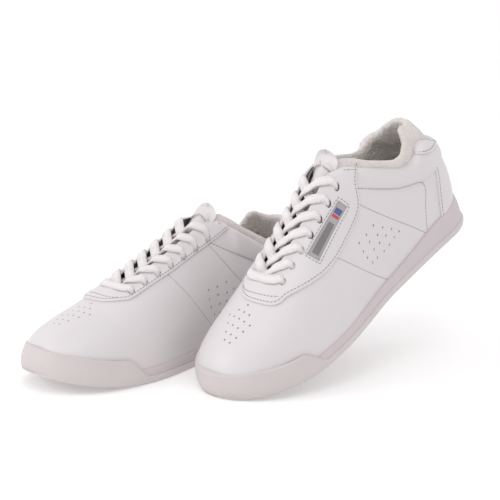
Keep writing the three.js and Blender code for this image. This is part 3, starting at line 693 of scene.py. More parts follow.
def stitches(name, lines, surface, body="shoe", pitch=STITCH_PITCH):
    """Thread between needle holes, along lines in (a, s); each needle hole is a small dark cup, painted shade."""
    points, faces, holes, hole_faces = [], [], [], []
    for line in lines:
        fine = even(line, 0.1)
        at = surface(fine[:, 0], fine[:, 1], np.zeros(len(fine)))
        up = surface(fine[:, 0], fine[:, 1], np.ones(len(fine))) - at
        length = np.concatenate([[0], np.cumsum(np.linalg.norm(np.diff(at, axis=0), axis=1))])
        count = max(int(length[-1] / pitch), 1)
        for k in range(count):
            middle = (k + 0.5) * length[-1] / count
            where = np.interp([middle - STITCH_LENGTH / 2, middle, middle + STITCH_LENGTH / 2], length,
                              np.arange(len(at)))
            first, centred, last = (int(round(w)) for w in where)
            p0, p2, n = at[first], at[last], up[centred]
            n = n / np.linalg.norm(n)
            along = (p2 - p0) / (np.linalg.norm(p2 - p0) + 1e-9)
            across = np.cross(n, along)
            start = len(points)
            for t, r, lift in THREAD_SHAPE:
                centre = p0 + (p2 - p0) * t + n * lift
                points += [centre + across * r * math.cos(q) + n * r * 0.75 * math.sin(q)
                           for q in (0, 1.047, 2.094, 3.1416, 4.4, 5.2)]
            faces += grid_faces(5, 6, wrap_columns=True, offset=start)
            faces += [[start + i for i in (5, 4, 3, 2, 1, 0)], [start + 24 + i for i in range(6)]]
            # a small dark cup at each needle hole: painted shade standing in for the shadow in the hole
            base = len(holes)
            centre = p2 + along * 0.5
            ring = [(math.cos(q), math.sin(q)) for q in np.arange(6) * math.pi / 3]
            holes += [centre + (along * c + across * d) * 0.46 + n * 0.06 for c, d in ring]
            holes += [centre + (along * c + across * d) * 0.3 - n * 0.5 for c, d in ring]
            hole_faces += grid_faces(2, 6, wrap_columns=True, offset=base)
            hole_faces += [[base + i for i in range(6)][::-1], [base + 6 + i for i in range(6)]]
    make(name, np.array(points), faces, THREAD, body, smooth_angle=None)
    make(name + "_holes", np.array(holes), hole_faces, HOLE_PAINTED_SHADE, body)


# ---- the leather upper --------------------------------------------------------------------------------
def above_edge(edge, margin):
    height = edge_of(edge)
    return lambda x: height(x) + margin


def build_upper():
    lateral_top = above_edge(LATERAL_STAY_EDGE, 5)
    medial_top = above_edge(MEDIAL_STAY_EDGE, 5)
    front = {1: seam_line(VAMP_SEAM, 1, lateral_top), -1: seam_line(VAMP_SEAM, -1, medial_top)}
    rear = {1: seam_line(QUARTER_SEAM, 1, lateral_top), -1: seam_line(QUARTER_SEAM, -1, medial_top)}

    # the vamp, perforated over the toes
    rows = [(206, 1, 0.5), (211.5, 3, 1.2), (217, 5, 0.8), (223, 4, 2.0), (229, 3, 2.6), (234, 2, 3.0)]
    vents = []
    for x, count, middle in rows:
        ys = middle + (np.arange(count) - (count - 1) / 2) * 5.8
        vents += [from_plan(x + 0.12 * (y - middle), y) for y in ys]
    throat = throat_line(14.5, 193, 150)
    outline = join(front[1], throat, front[-1][::-1], feather_line(front[-1][0, 0], A_END, -1),
                   feather_line(A_END, front[1][0, 0], 1))
    vent_loops = [circle(v, VENT_RADIUS) for v in vents]
    points, faces = panel(outline, on_skin, -LEATHER, LEATHER, edge=SKIVED, holes=vent_loops, spacing=1.8)
    make("vamp", points, faces, LEATHER_MATERIAL, replaces=["vamp"], smooth_angle=50)
    all_vents = list(vents)

    # the saddles and the quarters
    plate = [(102, 55), (95, 49), (88, 43), (82, 37), (111, 53), (102, 47), (95, 42), (88, 36), (120, 52),
             (111, 47), (103, 41), (95, 34), (120, 45), (110, 40), (102, 33), (119, 39), (110, 33), (116, 33)]
    for side, word in ((1, "lateral"), (-1, "medial")):
        gap = np.array([0.12, 0])
        x = np.linspace(front[side][-1, 0], rear[side][-1, 0], 30)
        across = even(np.stack([front[side][-1], rear[side][-1]]), 1.2)
        outline = join(front[side] - gap, across, rear[side][::-1] + gap,
                       feather_line(rear[side][0, 0], front[side][0, 0], side))
        holes = [from_side(*np.array(p, float), side) for p in plate]
        points, faces = panel(outline, on_skin, -LEATHER, LEATHER, edge=SKIVED,
                              holes=[circle(v, PLATE_RADIUS) for v in holes], spacing=1.8)
        make(f"{word}_saddle", points, faces, LEATHER_MATERIAL, replaces=[f"{word}_saddle"],
             smooth_angle=50)
        all_vents += holes

        seam = side_line(COLLAR_SEAM[side], side)
        counter = side_line(COUNTER_SEAM, side)
        collar = collar_line(side, 0.6, 0, 98)
        high = even(np.stack([collar[-1], rear[side][-1]]), 1.2)
        outline = join(rear[side], high[::-1], collar[::-1],
                       even(np.array([[0, collar[0, 1]], [0, side * (half_girth(0, side) + TUCK)]]), 1.3),
                       feather_line(0, rear[side][0, 0], side))
        sewn = [seam, counter]
        points, faces = panel(outline, on_skin, -LEATHER, LEATHER, edge=SKIVED, shape=collar_shape,
                              relief=groove(sewn), extra=fine_points(sewn), spacing=1.8)
        make(f"{word}_quarter", points, faces, LEATHER_MATERIAL, replaces=[f"{word}_quarter"],
             smooth_angle=50)

        def quarter_surface(a, s, h):
            flat = np.stack([a, s], -1)
            return on_skin(a, s, collar_shape(flat) + h - 0.30)
        stitches(f"{word}_collar_stitches", [seam, counter], quarter_surface)

    # dark cups under the perforations: painted shade in the punched holes
    points, faces = [], []
    for k, at in enumerate(all_vents):
        ring = circle(at, 0.9, 8)
        start = k * 16
        for height in (-0.75, -1.3):
            points.append(on_skin(ring[:, 0], ring[:, 1], np.full(8, height)))
        faces += grid_faces(2, 8, wrap_columns=True, offset=start)
        faces += [[start + i for i in range(8)][::-1], [start + 8 + i for i in range(8)]]
    make("vents", np.concatenate(points), faces, HOLE_PAINTED_SHADE)


def stay_outline():
    lateral = side_line(LATERAL_STAY_EDGE, 1)
    medial = side_line(MEDIAL_STAY_EDGE, -1)
    nose = spline([(195.2, 22.6), (198.4, 20.6), (200.6, 17.6), (202.3, 12), (203.2, 1), (202.3, -5),
                   (200.2, -9.8), (196.2, -14.6), (192, -18)], 1.1)
    nose = from_plan(nose[:, 0], nose[:, 1])
    return lateral, medial, nose


def clip_to_collar(line, drop):
    """The part of a line below the collar, and the lattice x where it meets the collar."""
    x = np.interp(line[:, 0], TABLE_A, TABLE_X)
    z = on_skin(line[:, 0], line[:, 1])[:, 2]
    kept = z < leather_edge(x) - drop
    return line[kept], x[kept][-1]


def stay_shape(flat):
    below, _, _ = collar_depth(flat)
    x = np.interp(flat[:, 0], TABLE_A, TABLE_X)
    return -3.0 * smooth(1 - below / 5.0) * (x < 112)


def build_stay():
    lateral, medial, nose = stay_outline()
    lateral, x_lateral = clip_to_collar(lateral, STAY_REVEAL)
    medial, x_medial = clip_to_collar(medial, STAY_REVEAL)
    lateral = lateral[np.interp(lateral[:, 0], TABLE_A, TABLE_X) < 190]
    medial = medial[np.interp(medial[:, 0], TABLE_A, TABLE_X) < 189]
    throat = throat_line(THROAT_HALF, THROAT_FRONT, 116)
    corner = {side: from_plan(np.array([103.5, 107, 111]), side * np.array([13.3, 11.5, 10.1])) for side in (1, -1)}
    outer = np.concatenate([medial[::-1], nose[::-1], lateral])
    outer = smooth_line(outer)
    outline = join(outer, collar_line(1, STAY_REVEAL, x_lateral, 99.5), corner[1], throat, corner[-1][::-1],
                   collar_line(-1, STAY_REVEAL, 99.5, x_medial))
    holes = []
    for row in range(EYELETS):
        for side in (1, -1):
            at = from_plan(EYELET_X - row * EYELET_PITCH, side * EYELET_Y)
            holes.append(circle(at, EYELET_RADIUS, 18))
    window = label_outline(0)
    points, faces = panel(outline, on_skin, 0.05, LEATHER, edge=0.7, holes=holes + [window], shape=stay_shape,
                          spacing=1.6)
    make("eyestay", points, faces, STAY_MATERIAL, replaces=["eyestay"], smooth_angle=50)

    # stitching along its edge, across its nose, round the label and under the collar edge
    def surface(a, s, h):
        flat = np.stack([a, s], -1)
        return on_skin(a, s, LEATHER + 0.02 + stay_shape(flat) + h)
    ring = outer.copy()
    tangent = np.gradient(ring, axis=0)
    tangent /= np.linalg.norm(tangent, axis=1, keepdims=True)
    inward = np.stack([-tangent[:, 1], tangent[:, 0]], -1)
    centre = np.array([from_plan(150, 0)[0], 0])
    if ((centre - ring[len(ring) // 2]) * inward[len(ring) // 2]).sum() < 0:
        inward = -inward
    edge_row = even(ring + inward * 2.0, 1.0)
    cross = spline([(192.5, 20.2), (195.8, 13.5), (197.3, 5), (197.3, -5), (195.8, -10.4), (193.6, -13.4)], 1.0)
    rows = [edge_row, from_plan(cross[:, 0], cross[:, 1])]
    rim = inset_ring(window, -1.5)
    rows.append(np.concatenate([rim, rim[:1]]))
    for side in (1, -1):
        rows.append(collar_line(side, 3.4, (x_lateral if side > 0 else x_medial) + 4, 100))
    stitches("eyestay_stitches", rows, surface)

    # the woven label in its window
    label = label_outline(-0.9)
    points, faces = panel(label, on_skin, 0.02, 0.62, edge=0.15, spacing=1.5)
    make("label", points, faces, LABEL, replaces=["badge"], smooth_angle=50)
    marks = (("bar", 0.36, 0.93, 1.5, LABEL_MARK), ("patch", 0.10, 0.20, 1.1, LABEL_BLUE),
             ("stripe", 0.215, 0.27, 1.1, LABEL_RED))
    for name, start, end, margin, finish in marks:
        mark = label_outline(margin, start, end)
        points, faces = panel(mark, on_skin, 0.5, 0.2, edge=0.08, spacing=1.5)
        make(f"label_{name}", points, faces, finish)


def smooth_line(line, rounds=7):
    line = even(line, 1.1)
    for _ in range(rounds):
        line[1:-1] = line[1:-1] * 0.5 + (line[:-2] + line[2:]) * 0.25
    return line


def label_outline(margin, start=0.0, end=1.0):
    """The label's outline; start and end cut a part of its length."""
    p, q = np.array((115.6, 80.6)), np.array((157.6, 63.0))
    along = (q - p) / np.linalg.norm(q - p)
    across = np.array([-along[1], along[0]])
    first = p + (q - p) * start + along * (margin if start == 0 else 0)
    last = p + (q - p) * end - along * (margin if end == 1 else 0)
    corners = [first + across * (3.4 - margin), first - across * (3.4 - margin), last - across * (3.4 - margin),
               last + across * (3.4 - margin)]
    line = np.concatenate([even(np.stack([c, d]), 1.0)[:-1] for c, d in zip(corners, corners[1:] + corners[:1])])
    return from_side(line[:, 0], line[:, 1], 1)


def build_heel():
    """The backstay strip and the heel tab over it."""
    strip = {side: side_line(BACKSTAY_EDGE, side) for side in (1, -1)}
    strip = {k: v[np.abs(v[:, 1]) <= half_girth(v[:, 0], k) + TUCK] for k, v in strip.items()}
    for side, word in ((1, "lateral"), (-1, "medial")):
        line = strip[side]
        foot = feather_line(line[-1, 0], 0, side)
        back = even(np.array([foot[-1], [0, line[0, 1]]]), 1.3)
        points, faces = panel(join(line, foot, back), on_skin, 0.02, 1.1, edge=0.6, spacing=1.8)
        make(f"backstay_{word}", points, faces, STAY_MATERIAL,
             replaces=["backstay"] if side > 0 else (), smooth_angle=50, weld=True)

        tab = side_line(HEEL_TAB_EDGE, side)
        collar = collar_line(side, 0.4, 0, 60)
        x_collar = np.interp(collar[:, 0], TABLE_A, TABLE_X)
        tab_x = np.interp(tab[0, 0], TABLE_A, TABLE_X)
        collar = collar[x_collar < tab_x - 1]
        lower = np.concatenate([tab, [[0, side * float(np.abs(tab[-1, 1]))]]])
        points, faces = panel(join(collar, lower), on_skin, 0.1, 1.3, edge=0.65, shape=collar_shape, spacing=1.7)
        make(f"heel_tab_{word}", points, faces, STAY_MATERIAL,
             replaces=["heel_tab"] if side > 0 else (), smooth_angle=50, weld=True)

        stitches(f"{word}_backstay_stitches", [line[line[:, 1] * side < half_girth(line[:, 0], side)] - [2.0, 0]],
                 lambda a, s, h: on_skin(a, s, 1.12 + h))

        def surface(a, s, h):
            flat = np.stack([a, s], -1)
            return on_skin(a, s, 1.4 + collar_shape(flat) + h)
        inner = tab[4:].copy()
        inner[:, 1] -= side * 2.2
        stitches(f"{word}_tab_stitches", [inner], surface)


build_upper()
build_stay()
build_heel()


# ---- the sole unit --------------------------------------------------------------------------------------
def sole_half_width(x, side, inset=0.0):
    width = np.where(side > 0, sole_lateral(x), sole_medial(x))
    widest = np.where(side > 0, LATERAL_BALL, MEDIAL_BALL)
    return (width - inset) * end_rounding(x, inset, SOLE_LENGTH - inset, widest)


def ground(x):
    return TOE_SPRING * np.maximum((x - SPRING_START) / (SOLE_LENGTH - SPRING_START), 0)**2


def toe_cup_top(x):
    low = OUTSOLE_THICKNESS + 1
    return (ground(x) + low + (TOE_CUP_HEIGHT - low) * smooth((x - TOE_CUP_START + 1) / 19)
            - 1.4 * smooth((x - 238) / 22))


def loft(x, ring, half_width):
    """A solid along the shoe.  ring(x, side) gives rows of (share of the width, outward offset, height),
    from the middle of the under side round to the middle of the top."""
    outline = {}
    for side in (1, -1):
        y = half_width(x, np.full_like(x, float(side)))
        tangent = np.gradient(np.stack([x, y], -1), axis=0)
        tangent[0] = (0, 1)
        tangent[-1] = (0, -1)
        tangent /= np.linalg.norm(tangent, axis=1, keepdims=True) + 1e-12
        outline[side] = (y, np.stack([-tangent[:, 1], tangent[:, 0]], -1))
    columns = []
    for side in (1, -1):
        y, normal = outline[side]
        rows = ring(x, side)
        part = []
        for share, offset, height in rows:
            pull = np.abs(share)**6 * offset
            px = x + normal[:, 0] * pull
            py = side * (share * y + normal[:, 1] * pull)
            part.append(np.stack([px, py, height], -1))
        columns.append(part)
    loop = columns[0] + columns[1][::-1][1:-1]
    points = np.stack(loop, 1)
    faces = grid_faces(len(x), len(loop), wrap_columns=True)
    return points.reshape(-1, 3), [f[::-1] for f in faces]


def around(length, inset, count=240):
    k = np.linspace(0, np.pi, count)
    return inset + (length - 2 * inset) * (1 - np.cos(k)) / 2


def tread(x, y):
    """How far the tread is cut back: rows of small blocks, left smooth under the arch."""
    cell_x = np.abs((x / 6.5) % 1 - 0.5) * 2
    cell_y = np.abs(((y + 3.2 * (np.floor(x / 6.5) % 2)) / 6.5) % 1 - 0.5) * 2
    blocks = smooth((np.minimum(1 - cell_x, 1 - cell_y) - 0.16) / 0.10)
    arch = smooth((x - 84) / 6) * smooth((128 - x) / 6)
    return 1.4 * (1 - blocks) * (1 - arch)


def build_sole():
    def outsole_ring(x, side):
        g, top = ground(x), toe_cup_top(x)
        y = sole_half_width(x, np.full_like(x, float(side)))
        rows = []
        for share in np.linspace(0, 0.93, 44):
            rows.append((np.full_like(x, share), np.zeros_like(x), g + tread(x, share * y * side)
                         * smooth((0.95 - share) / 0.04)))
        one = np.ones_like(x)
        lean = 0.5 * smooth((x - TOE_CUP_START) / 12) + 2.5 * smooth((x - 214) / 38)
        rows += [(one * 0.955, one * 0, g + 0.05), (one * 0.975, one * 0, g + 0.3), (one, one * -0.5, g + 1.1),
                 (one, one * -0.05, g + 2.2)]
        for t in np.linspace(0.2, 0.8, 5):
            rows.append((one, 0.35 * np.sin(np.pi * t) - lean * t * t, g + 2.2 + (top - g - 4.0) * t))
        rows += [(one, 0.1 - lean, top - 1.5), (one, -0.1 - lean, top - 0.75), (one, -0.6 - lean, top - 0.2),
                 (one, -1.3 - lean, top), (one, -2.2 - lean * 1.7, top - 0.1), (one, -2.5 - lean * 1.9, top - 0.7)]
        floor = np.where(x > TOE_CUP_START - 6, np.minimum(top - 2.0, g + 9.0), top - 1.2)
        rows += [(one, -2.6 - lean * 1.9, floor)]
        for share in (0.8, 0.5, 0.0):
            rows.append((one * share, one * 0, g + OUTSOLE_THICKNESS + 0.2))
        return rows
    points, faces = loft(around(SOLE_LENGTH, 0, 340), outsole_ring, sole_half_width)
    make("outsole", points, faces, RUBBER, replaces=["outsole"], smooth_angle=40, weld=True)

    def midsole_ring(x, side):
        g = ground(x)
        base, top = g + OUTSOLE_THICKNESS + 0.35, feather_height(x) + 0.1
        one = np.ones_like(x)
        tucked = -3.9 * smooth((x - TOE_CUP_START - 4) / 10)
        rows = [(one * 0, one * 0, base), (one * 0.6, one * 0, base), (one * 0.94, one * 0, base),
                (one, tucked - 1.1, base), (one, tucked - 1.0, base + 0.4)]
        for t in np.linspace(0.12, 0.9, 7):
            rows.append((one, tucked - 1.0 + 0.45 * np.sin(np.pi * t) - 0.9 * t * t, base + (top - base) * t))
        rows += [(one, tucked - 1.9, top - 0.35), (one, tucked - 2.4, top), (one, tucked - 3.2, top + 0.1)]
        rows += [(one * share, one * 0, top) for share in (0.86, 0.6, 0.3, 0.0)]
        return rows
    points, faces = loft(around(SOLE_LENGTH, 0, 260), midsole_ring, sole_half_width)
    points[:, 0] -= 5 * smooth((points[:, 0] - 205) / 55)
    make("midsole", points, faces, FOAM_SOLE, replaces=["midsole"], smooth_angle=40, weld=True)

    inset = 5.2

    def insole_half_width(x, side):
        return (upper_half_width(np.clip(x, inset, LAST_LENGTH - inset), side, inset)
                * np.sqrt(np.clip((250 - x) / 40, 0, 1)**0.8))
    def slab_ring(low, high, soft):
        def ring(x, side):
            one = np.ones_like(x)
            b, t = feather_height(x) + low, feather_height(x) + high(x)
            rows = [(one * share, one * 0, b) for share in (0.0, 0.5, 0.9)]
            rows += [(one, one * 0, b + 0.1), (one, one * 0, t - soft), (one, one * -soft * 0.3, t - soft * 0.3),
                     (one, one * -soft, t)]
            rows += [(one * share, one * 0, t + 0 * one) for share in (0.88, 0.7, 0.45, 0.2, 0.0)]
            return rows
        return ring
    x = inset + (249 - inset) * (1 - np.cos(np.linspace(0, np.pi, 150))) / 2
    points, faces = loft(x, slab_ring(2.75, lambda v: 6.5 + 2 * smooth((40 - v) / 30), 1.4), insole_half_width)
    points[:, 0] += lean_of(points[:, 0], points[:, 2])
    make("footbed", points, faces, TERRY, replaces=["footbed"], smooth_angle=45, weld=True)
    points, faces = loft(x, slab_ring(0.7, lambda v: 2.4 + 0 * v, 0.2), insole_half_width)
    points[:, 0] += lean_of(points[:, 0], points[:, 2])
    make("insole_board", points, faces, BOARD, replaces=["insole_board"], smooth_angle=45, weld=True)


build_sole()


# ---- terry collar -----------------------------------------------------------------------------------------
RANDOM = np.random.default_rng(7)


def tufts(rows, columns, size):
    """Small seeded bumps on a grid of points."""
    field = RANDOM.normal(0, 1, (rows, columns))
    field = 0.5 * field + 0.125 * (np.roll(field, 1, 0) + np.roll(field, -1, 0) + np.roll(field, 1, 1)
                                   + np.roll(field, -1, 1))
    return field * size


# how much higher than the plain roll the terry stands, along the shoe
lateral_rise = curve((0, 6.6), (10, 6.2), (20, 5.0), (30, 3.7), (42, 2.5), (56, 1.9), (76, 1.8), (94, 2.3),
                     (107, 2.3))
medial_rise = curve((0, 6.6), (3, 6.2), (8, 4.9), (13, 2.7), (18, 1.2), (25, 0.8), (32, 1.1), (38, 1.4),
                    (48, 1.7), (58, 1.9), (76, 1.8), (94, 2.3), (107, 2.3))


def build_collar():
    x = np.concatenate([np.linspace(107, 3, 105), np.linspace(2.4, 0, 5)])
    lateral, medial = (place_on_collar(x, side) for side in (1, -1))
    stations = np.concatenate([lateral, medial[-2::-1]])
    xs = np.concatenate([x, x[-2::-1]])
    # even the stations out along the collar line
    line = on_skin(stations[:, 0], stations[:, 1])
    length = np.concatenate([[0], np.cumsum(np.linalg.norm(np.diff(line, axis=0), axis=1))])
    at = np.linspace(0, length[-1], int(length[-1] / 1.15))
    middle = length[len(x) - 1]
    at[np.argmin(np.abs(at - middle))] = middle
    a = np.interp(at, length, stations[:, 0])
    s = np.interp(at, length, np.abs(stations[:, 1]))
    xs = np.interp(at, length, xs)
    side = np.where(at <= middle, 1.0, -1.0)

    roll = spline([(-4.6, 6.0), (-3.9, 3.4), (-3.1, 1.0), (-2.6, -0.8), (-3.1, -2.4), (-4.6, -3.5), (-6.3, -3.6),
                   (-7.9, -2.8), (-9.0, -1.2), (-9.4, 0.9), (-9.1, 3.6), (-8.5, 6.6), (-8.0, 10.0)], 1.0)
    depth = half_girth(a, side) - s - 4.5
    fade = smooth((100 - xs) / 24)[:, None]
    shrink = 0.50 + 0.50 * fade
    down = np.linspace(0, 1, 46)[1:]
    h_roll = -2.6 + (roll[None, :, 0] + 2.6) * shrink
    rise = np.where(side > 0, lateral_rise(xs), medial_rise(xs))[:, None]
    h_roll = h_roll + 1.9 * (1 - smooth(xs / 40))[:, None] * (np.arange(len(roll)) < len(roll) * 0.42)
    d_roll = np.broadcast_to(roll[None, :, 1], h_roll.shape)
    d_roll = np.where(d_roll < 0, d_roll * rise, d_roll)
    d_down = d_roll[:, -1:] + (depth[:, None] - d_roll[:, -1:]) * down[None]
    z_down = on_skin(np.broadcast_to(a[:, None], d_down.shape), side[:, None] * (s[:, None] + d_down))[..., 2]
    padded = smooth((z_down - 42) / 16) * (1 - smooth((xs[:, None] - 70) / 34))
    target = -(4.7 + 3.7 * padded)
    h_down = h_roll[:, -1:] + (target - h_roll[:, -1:]) * smooth(down[None] * 3)
    h_front = np.concatenate([h_roll, h_down], 1)
    d_front = np.concatenate([d_roll, d_down], 1)
    pick = np.linspace(h_front.shape[1] - 1, len(roll) - 1, 10).astype(int)
    h_back, d_back = h_front[:, pick] + 1.1, d_front[:, pick]
    h_close = np.stack([h_roll[:, 0] - 0.6, h_roll[:, 2] - 1.1], 1)
    d_close = np.stack([d_roll[:, 0] + 1.0, d_roll[:, 0] + 3.0], 1)
    noise = tufts(len(a), h_front.shape[1], 0.42)
    # painted shade: none on the roll, rising down the lining into the shoe, in place of the shadow there
    painted_shade = np.concatenate([0 * d_roll, smooth((d_down - 14) / 40)], 1)
    h = np.concatenate([h_front + noise, h_back, h_close[:, ::-1]], 1)
    d = np.concatenate([d_front, d_back, d_close[:, ::-1]], 1)
    where_s = side[:, None] * np.maximum(s[:, None] + d, 0)
    points = on_skin(np.broadcast_to(a[:, None], h.shape), where_s, h)
    columns = h.shape[1]
    faces = grid_faces(len(a), columns, wrap_columns=True)
    faces += [list(range(columns))[::-1], [(len(a) - 1) * columns + i for i in range(columns)]]
    flat = points.reshape(-1, 3)
    painted_shade = np.concatenate([painted_shade, np.zeros((len(a), columns - painted_shade.shape[1]))], 1).ravel()
    for piece in make("collar_lining", flat, face_out(flat, faces), TERRY,
                      replaces=["collar_lining", "collar_foam"], painted_shade=painted_shade):
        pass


def place_on_collar(x, side):
    z = leather_edge(x) - 0.2
    bottom = feather_height(x) + GAP
    rise = np.clip((z - bottom) / (ridge_height(x) - bottom), 0, 1)
    return place(x, side, np.arcsin(rise**(roundness(x) / 2)))


def face_out(points, faces):
    """Turns every face round if the closed mesh is inside out."""
    middle = points.mean(0)
    volume = 0.0
    for f in faces:
        p = points[f[0]] - middle
        for i in range(1, len(f) - 1):
            volume += np.dot(p, np.cross(points[f[i]] - middle, points[f[i + 1]] - middle))
    return faces if volume > 0 else [list(f)[::-1] for f in faces]


# ---- tongue -------------------------------------------------------------------------------------------------
TONGUE_TIP, TONGUE_BASE = 95.5, 191.0
tongue_width = curve((90, 13.2), (100, 13.2), (122, 13), (150, 18.6), (176, 17), (188, 13.5), (193, 7))


def at_width(x, y, inset):
    """The skin at distance y from the middle, moved in by an inset, as in the CAD."""
    x, y, inset = np.broadcast_arrays(np.asarray(x, float), np.asarray(y, float), np.asarray(inset, float))
    side = np.where(y < 0, -1.0, 1.0)
    out = np.minimum(np.abs(y) / upper_half_width(x, side, inset), 1)
    return skin(x, np.arccos(out**(side_flatness(x) / 2)), side, inset)


def tongue_layer(depth, thickness, margin, tip, count=40, bulge=0.0, noise=0.0):
    x = tip + (TONGUE_BASE - tip) * (1 - np.cos(np.linspace(0, np.pi, 120))) / 2
    half = (tongue_width(x) + margin) * (1 - (1 - np.clip((x - tip) / 3, 0, 1))**3)**(1 / 3)
    half = half * np.clip((TONGUE_BASE + 0.01 - x) / 1.2, 0, 1)**0.5
    puff = thickness * (0.25 + 0.75 * np.clip((x - tip) / 5, 0, 1)**0.5) + bulge * smooth(1 - (x - tip) / 22)
    turn = np.arange(count) * 2 * np.pi / count
    c, v = np.cos(turn), np.sin(turn)
    across = np.sign(c) * np.abs(c)**0.45
    high = np.sign(v) * np.abs(v)**0.7
    middle = 9.2 - 2.4 * smooth((132 - x) / 14) - 2.6 * smooth((109 - x) / 16) + depth + thickness / 2
    middle = middle + bulge * 0.5 * smooth(1 - (x - tip) / 22)
    inset = middle[:, None] - high[None] * puff[:, None] / 2
    inset = inset - 4.6 * smooth((tip + 14 - x) / 14)[:, None] * across[None]**2
    if noise:
        inset = inset + np.abs(tufts(len(x), count, noise))
    points = at_width(x[:, None], half[:, None] * across[None], inset).reshape(-1, 3)
    faces = grid_faces(len(x), count, wrap_columns=True)
    faces += [list(range(count))[::-1], [(len(x) - 1) * count + i for i in range(count)]]
    return points, face_out(points, faces)


def build_tongue():
    points, faces = tongue_layer(-0.9, 1.4, -1.2, TONGUE_TIP + 1.4)
    make("tongue_leather", points, faces, LEATHER_MATERIAL, body="tongue", replaces=["tongue"],
         smooth_angle=60)
    points, faces = tongue_layer(0.4, 6.0, 0.6, TONGUE_TIP, count=72, bulge=2.2, noise=0.3)
    for piece in make("tongue_terry", points, faces, TERRY, body="tongue",
                      replaces=["tongue_padding", "tongue_lining"]):
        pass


# ---- lace ---------------------------------------------------------------------------------------------------
LACE_WIDTH, LACE_THICKNESS = 7.4, 2.5


def eyelet_at(row):
    return EYELET_X - row * EYELET_PITCH


def strand(row, side, over):
    """Control points from under the far row to under the near one: x, y, inset, width."""
    x0, x1 = eyelet_at(row), eyelet_at(row + 1)
    mid = 1.0 if over else 3.9
    table = [(-0.55, -side * 10.4, 4.3, 5.6), (-0.36, -side * 6.2, 3.5 + 0.5 * (mid - 2.5), 6.6),
             (-0.13, -side * 1.4, mid, 7.2), (0.12, side * 3.2, mid * 0.6 - 0.3, 7.3),
             (0.35, side * 7.2, -1.8, 7.3), (0.56, side * 10.6, -2.4, 7.3), (0.76, side * 13.2, -2.6, 7.2),
             (0.90, side * 15.0, -2.5, 6.6), (0.97, side * 16.0, -1.3, 5.2), (1.0, side * 16.2, 1.2, 3.9),
             (1.0, side * 15.2, 3.4, 3.9), (1.0, side * 13.0, 4.8, 4.8)]
    return [(x0 + (x1 - x0) * t, y, inset, width) for t, y, inset, width in table]


def lace_controls():
    def half(start):
        points, side = [], start
        for row in range(EYELETS - 1):
            points += strand(row, -side, side < 0)
            side = -side
        return points + [(109, side * 15.5, 6.6, 4.6), (112, side * 20.5, 6.8, 4.2), (122, side * 22.3, 6.8, 2.6)]

    def first(side):
        return [(EYELET_X + forward, side * y, inset, width) for forward, y, inset, width in
                ((4.2, 5.5, -2.2, 7.2), (3.6, 9.8, -2.6, 7.2), (2.2, 13.2, -2.6, 7.1), (1.0, 15.0, -2.5, 6.5),
                 (0.2, 16.0, -1.3, 5.2), (0, 16.2, 1.2, 3.9), (0, 15.2, 3.4, 3.9), (0, 13.0, 4.8, 4.8))]
    return half(-1)[::-1] + first(-1)[::-1] + [(EYELET_X + 4, 0, -1.6, 7.0)] + first(1) + half(1)


def ribbon(path, width, thickness, power=0.62, count=18):
    """A flat oval cord along a path, its width lying along the shoe."""
    tangent = np.gradient(path, axis=0)
    tangent /= np.linalg.norm(tangent, axis=1, keepdims=True)
    along = np.array([0.89, 0, -0.45])
    across = along[None] - (tangent @ along)[:, None] * tangent
    weak = np.linalg.norm(across, axis=1) < 0.45
    spare = np.array([0, 1.0, 0])[None] - tangent * tangent[:, 1:2]
    across[weak] = spare[weak]
    across /= np.linalg.norm(across, axis=1, keepdims=True)
    for i in range(1, len(across)):
        if (across[i] * across[i - 1]).sum() < 0:
            across[i] *= -1
    for _ in range(5):
        across[1:-1] = across[1:-1] * 0.5 + (across[:-2] + across[2:]) * 0.25
    across /= np.linalg.norm(across, axis=1, keepdims=True)
    up = np.cross(tangent, across)
    turn = np.arange(count) * 2 * np.pi / count
    c = np.sign(np.cos(turn)) * np.abs(np.cos(turn))**power
    v = np.sign(np.sin(turn)) * np.abs(np.sin(turn))**(power + 0.25)
    points = (path[:, None] + across[:, None] * (c[None, :, None] * width[:, None, None] / 2)
              + up[:, None] * (v[None, :, None] * thickness[:, None, None] / 2))
    length = np.concatenate([[0], np.cumsum(np.linalg.norm(np.diff(path, axis=0), axis=1))])
    uv = np.stack([np.broadcast_to(turn[None] / math.pi, (len(path), count)),
                   np.broadcast_to(length[:, None], (len(path), count))], -1).reshape(-1, 2)
    faces = grid_faces(len(path), count, wrap_columns=True)
    faces += [list(range(count))[::-1], [(len(path) - 1) * count + i for i in range(count)]]
    points = points.reshape(-1, 3)
    return points, face_out(points, faces), uv


def build_lace():
    controls = np.array(lace_controls())
    path = at_width(controls[:, 0], controls[:, 1], controls[:, 2])
    fine = spline(np.concatenate([path, controls[:, 3:]], 1), 0.75)
    for _ in range(3):
        fine[1:-1] = fine[1:-1] * 0.5 + (fine[:-2] + fine[2:]) * 0.25
    width = fine[:, 3]
    thickness = LACE_THICKNESS + 0.12 * (LACE_WIDTH - width)
    points, faces, uv = ribbon(fine[:, :3], width, thickness)
    make("lace", points, faces, LACE_MATERIAL, replaces=["lace"], uv=uv)
    for side, word in ((1, "lateral"), (-1, "medial")):
        xs = np.linspace(122.5, 139, 14)
        path = at_width(xs, side * 22.6, 6.9)
        size = np.full(14, 2.7)
        points, faces, _ = ribbon(path, size, size, power=1.0, count=14)
        make(f"{word}_lace_tip", points, faces, AGLET, replaces=[f"{word}_lace_tip"], smooth_angle=40)


build_collar()
build_tongue()
build_lace()


# ---- what stays from the CAD ---------------------------------------------------------------------------
FINISHES = {"toe_puff": (STIFFENER, "stiffener"), "heel_counter": (STIFFENER, "stiffener"),
            # the vamp lining takes the darker terry copy, painted shade for the inside of the shoe
            "vamp_lining": (TERRY_PAINTED_SHADE, "terry"),
            "insole_board": (BOARD, "board"), "footbed": (TERRY, "terry")}
for name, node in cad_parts.items():
    kind = name.split("_", 1)[1]
    if kind in FINISHES:
        node.data.materials.clear()
        node.data.materials.append(FINISHES[kind][0])
    elif not node.hide_render:
        node.data.materials.clear()
        node.data.materials.append(LEATHER_MATERIAL)


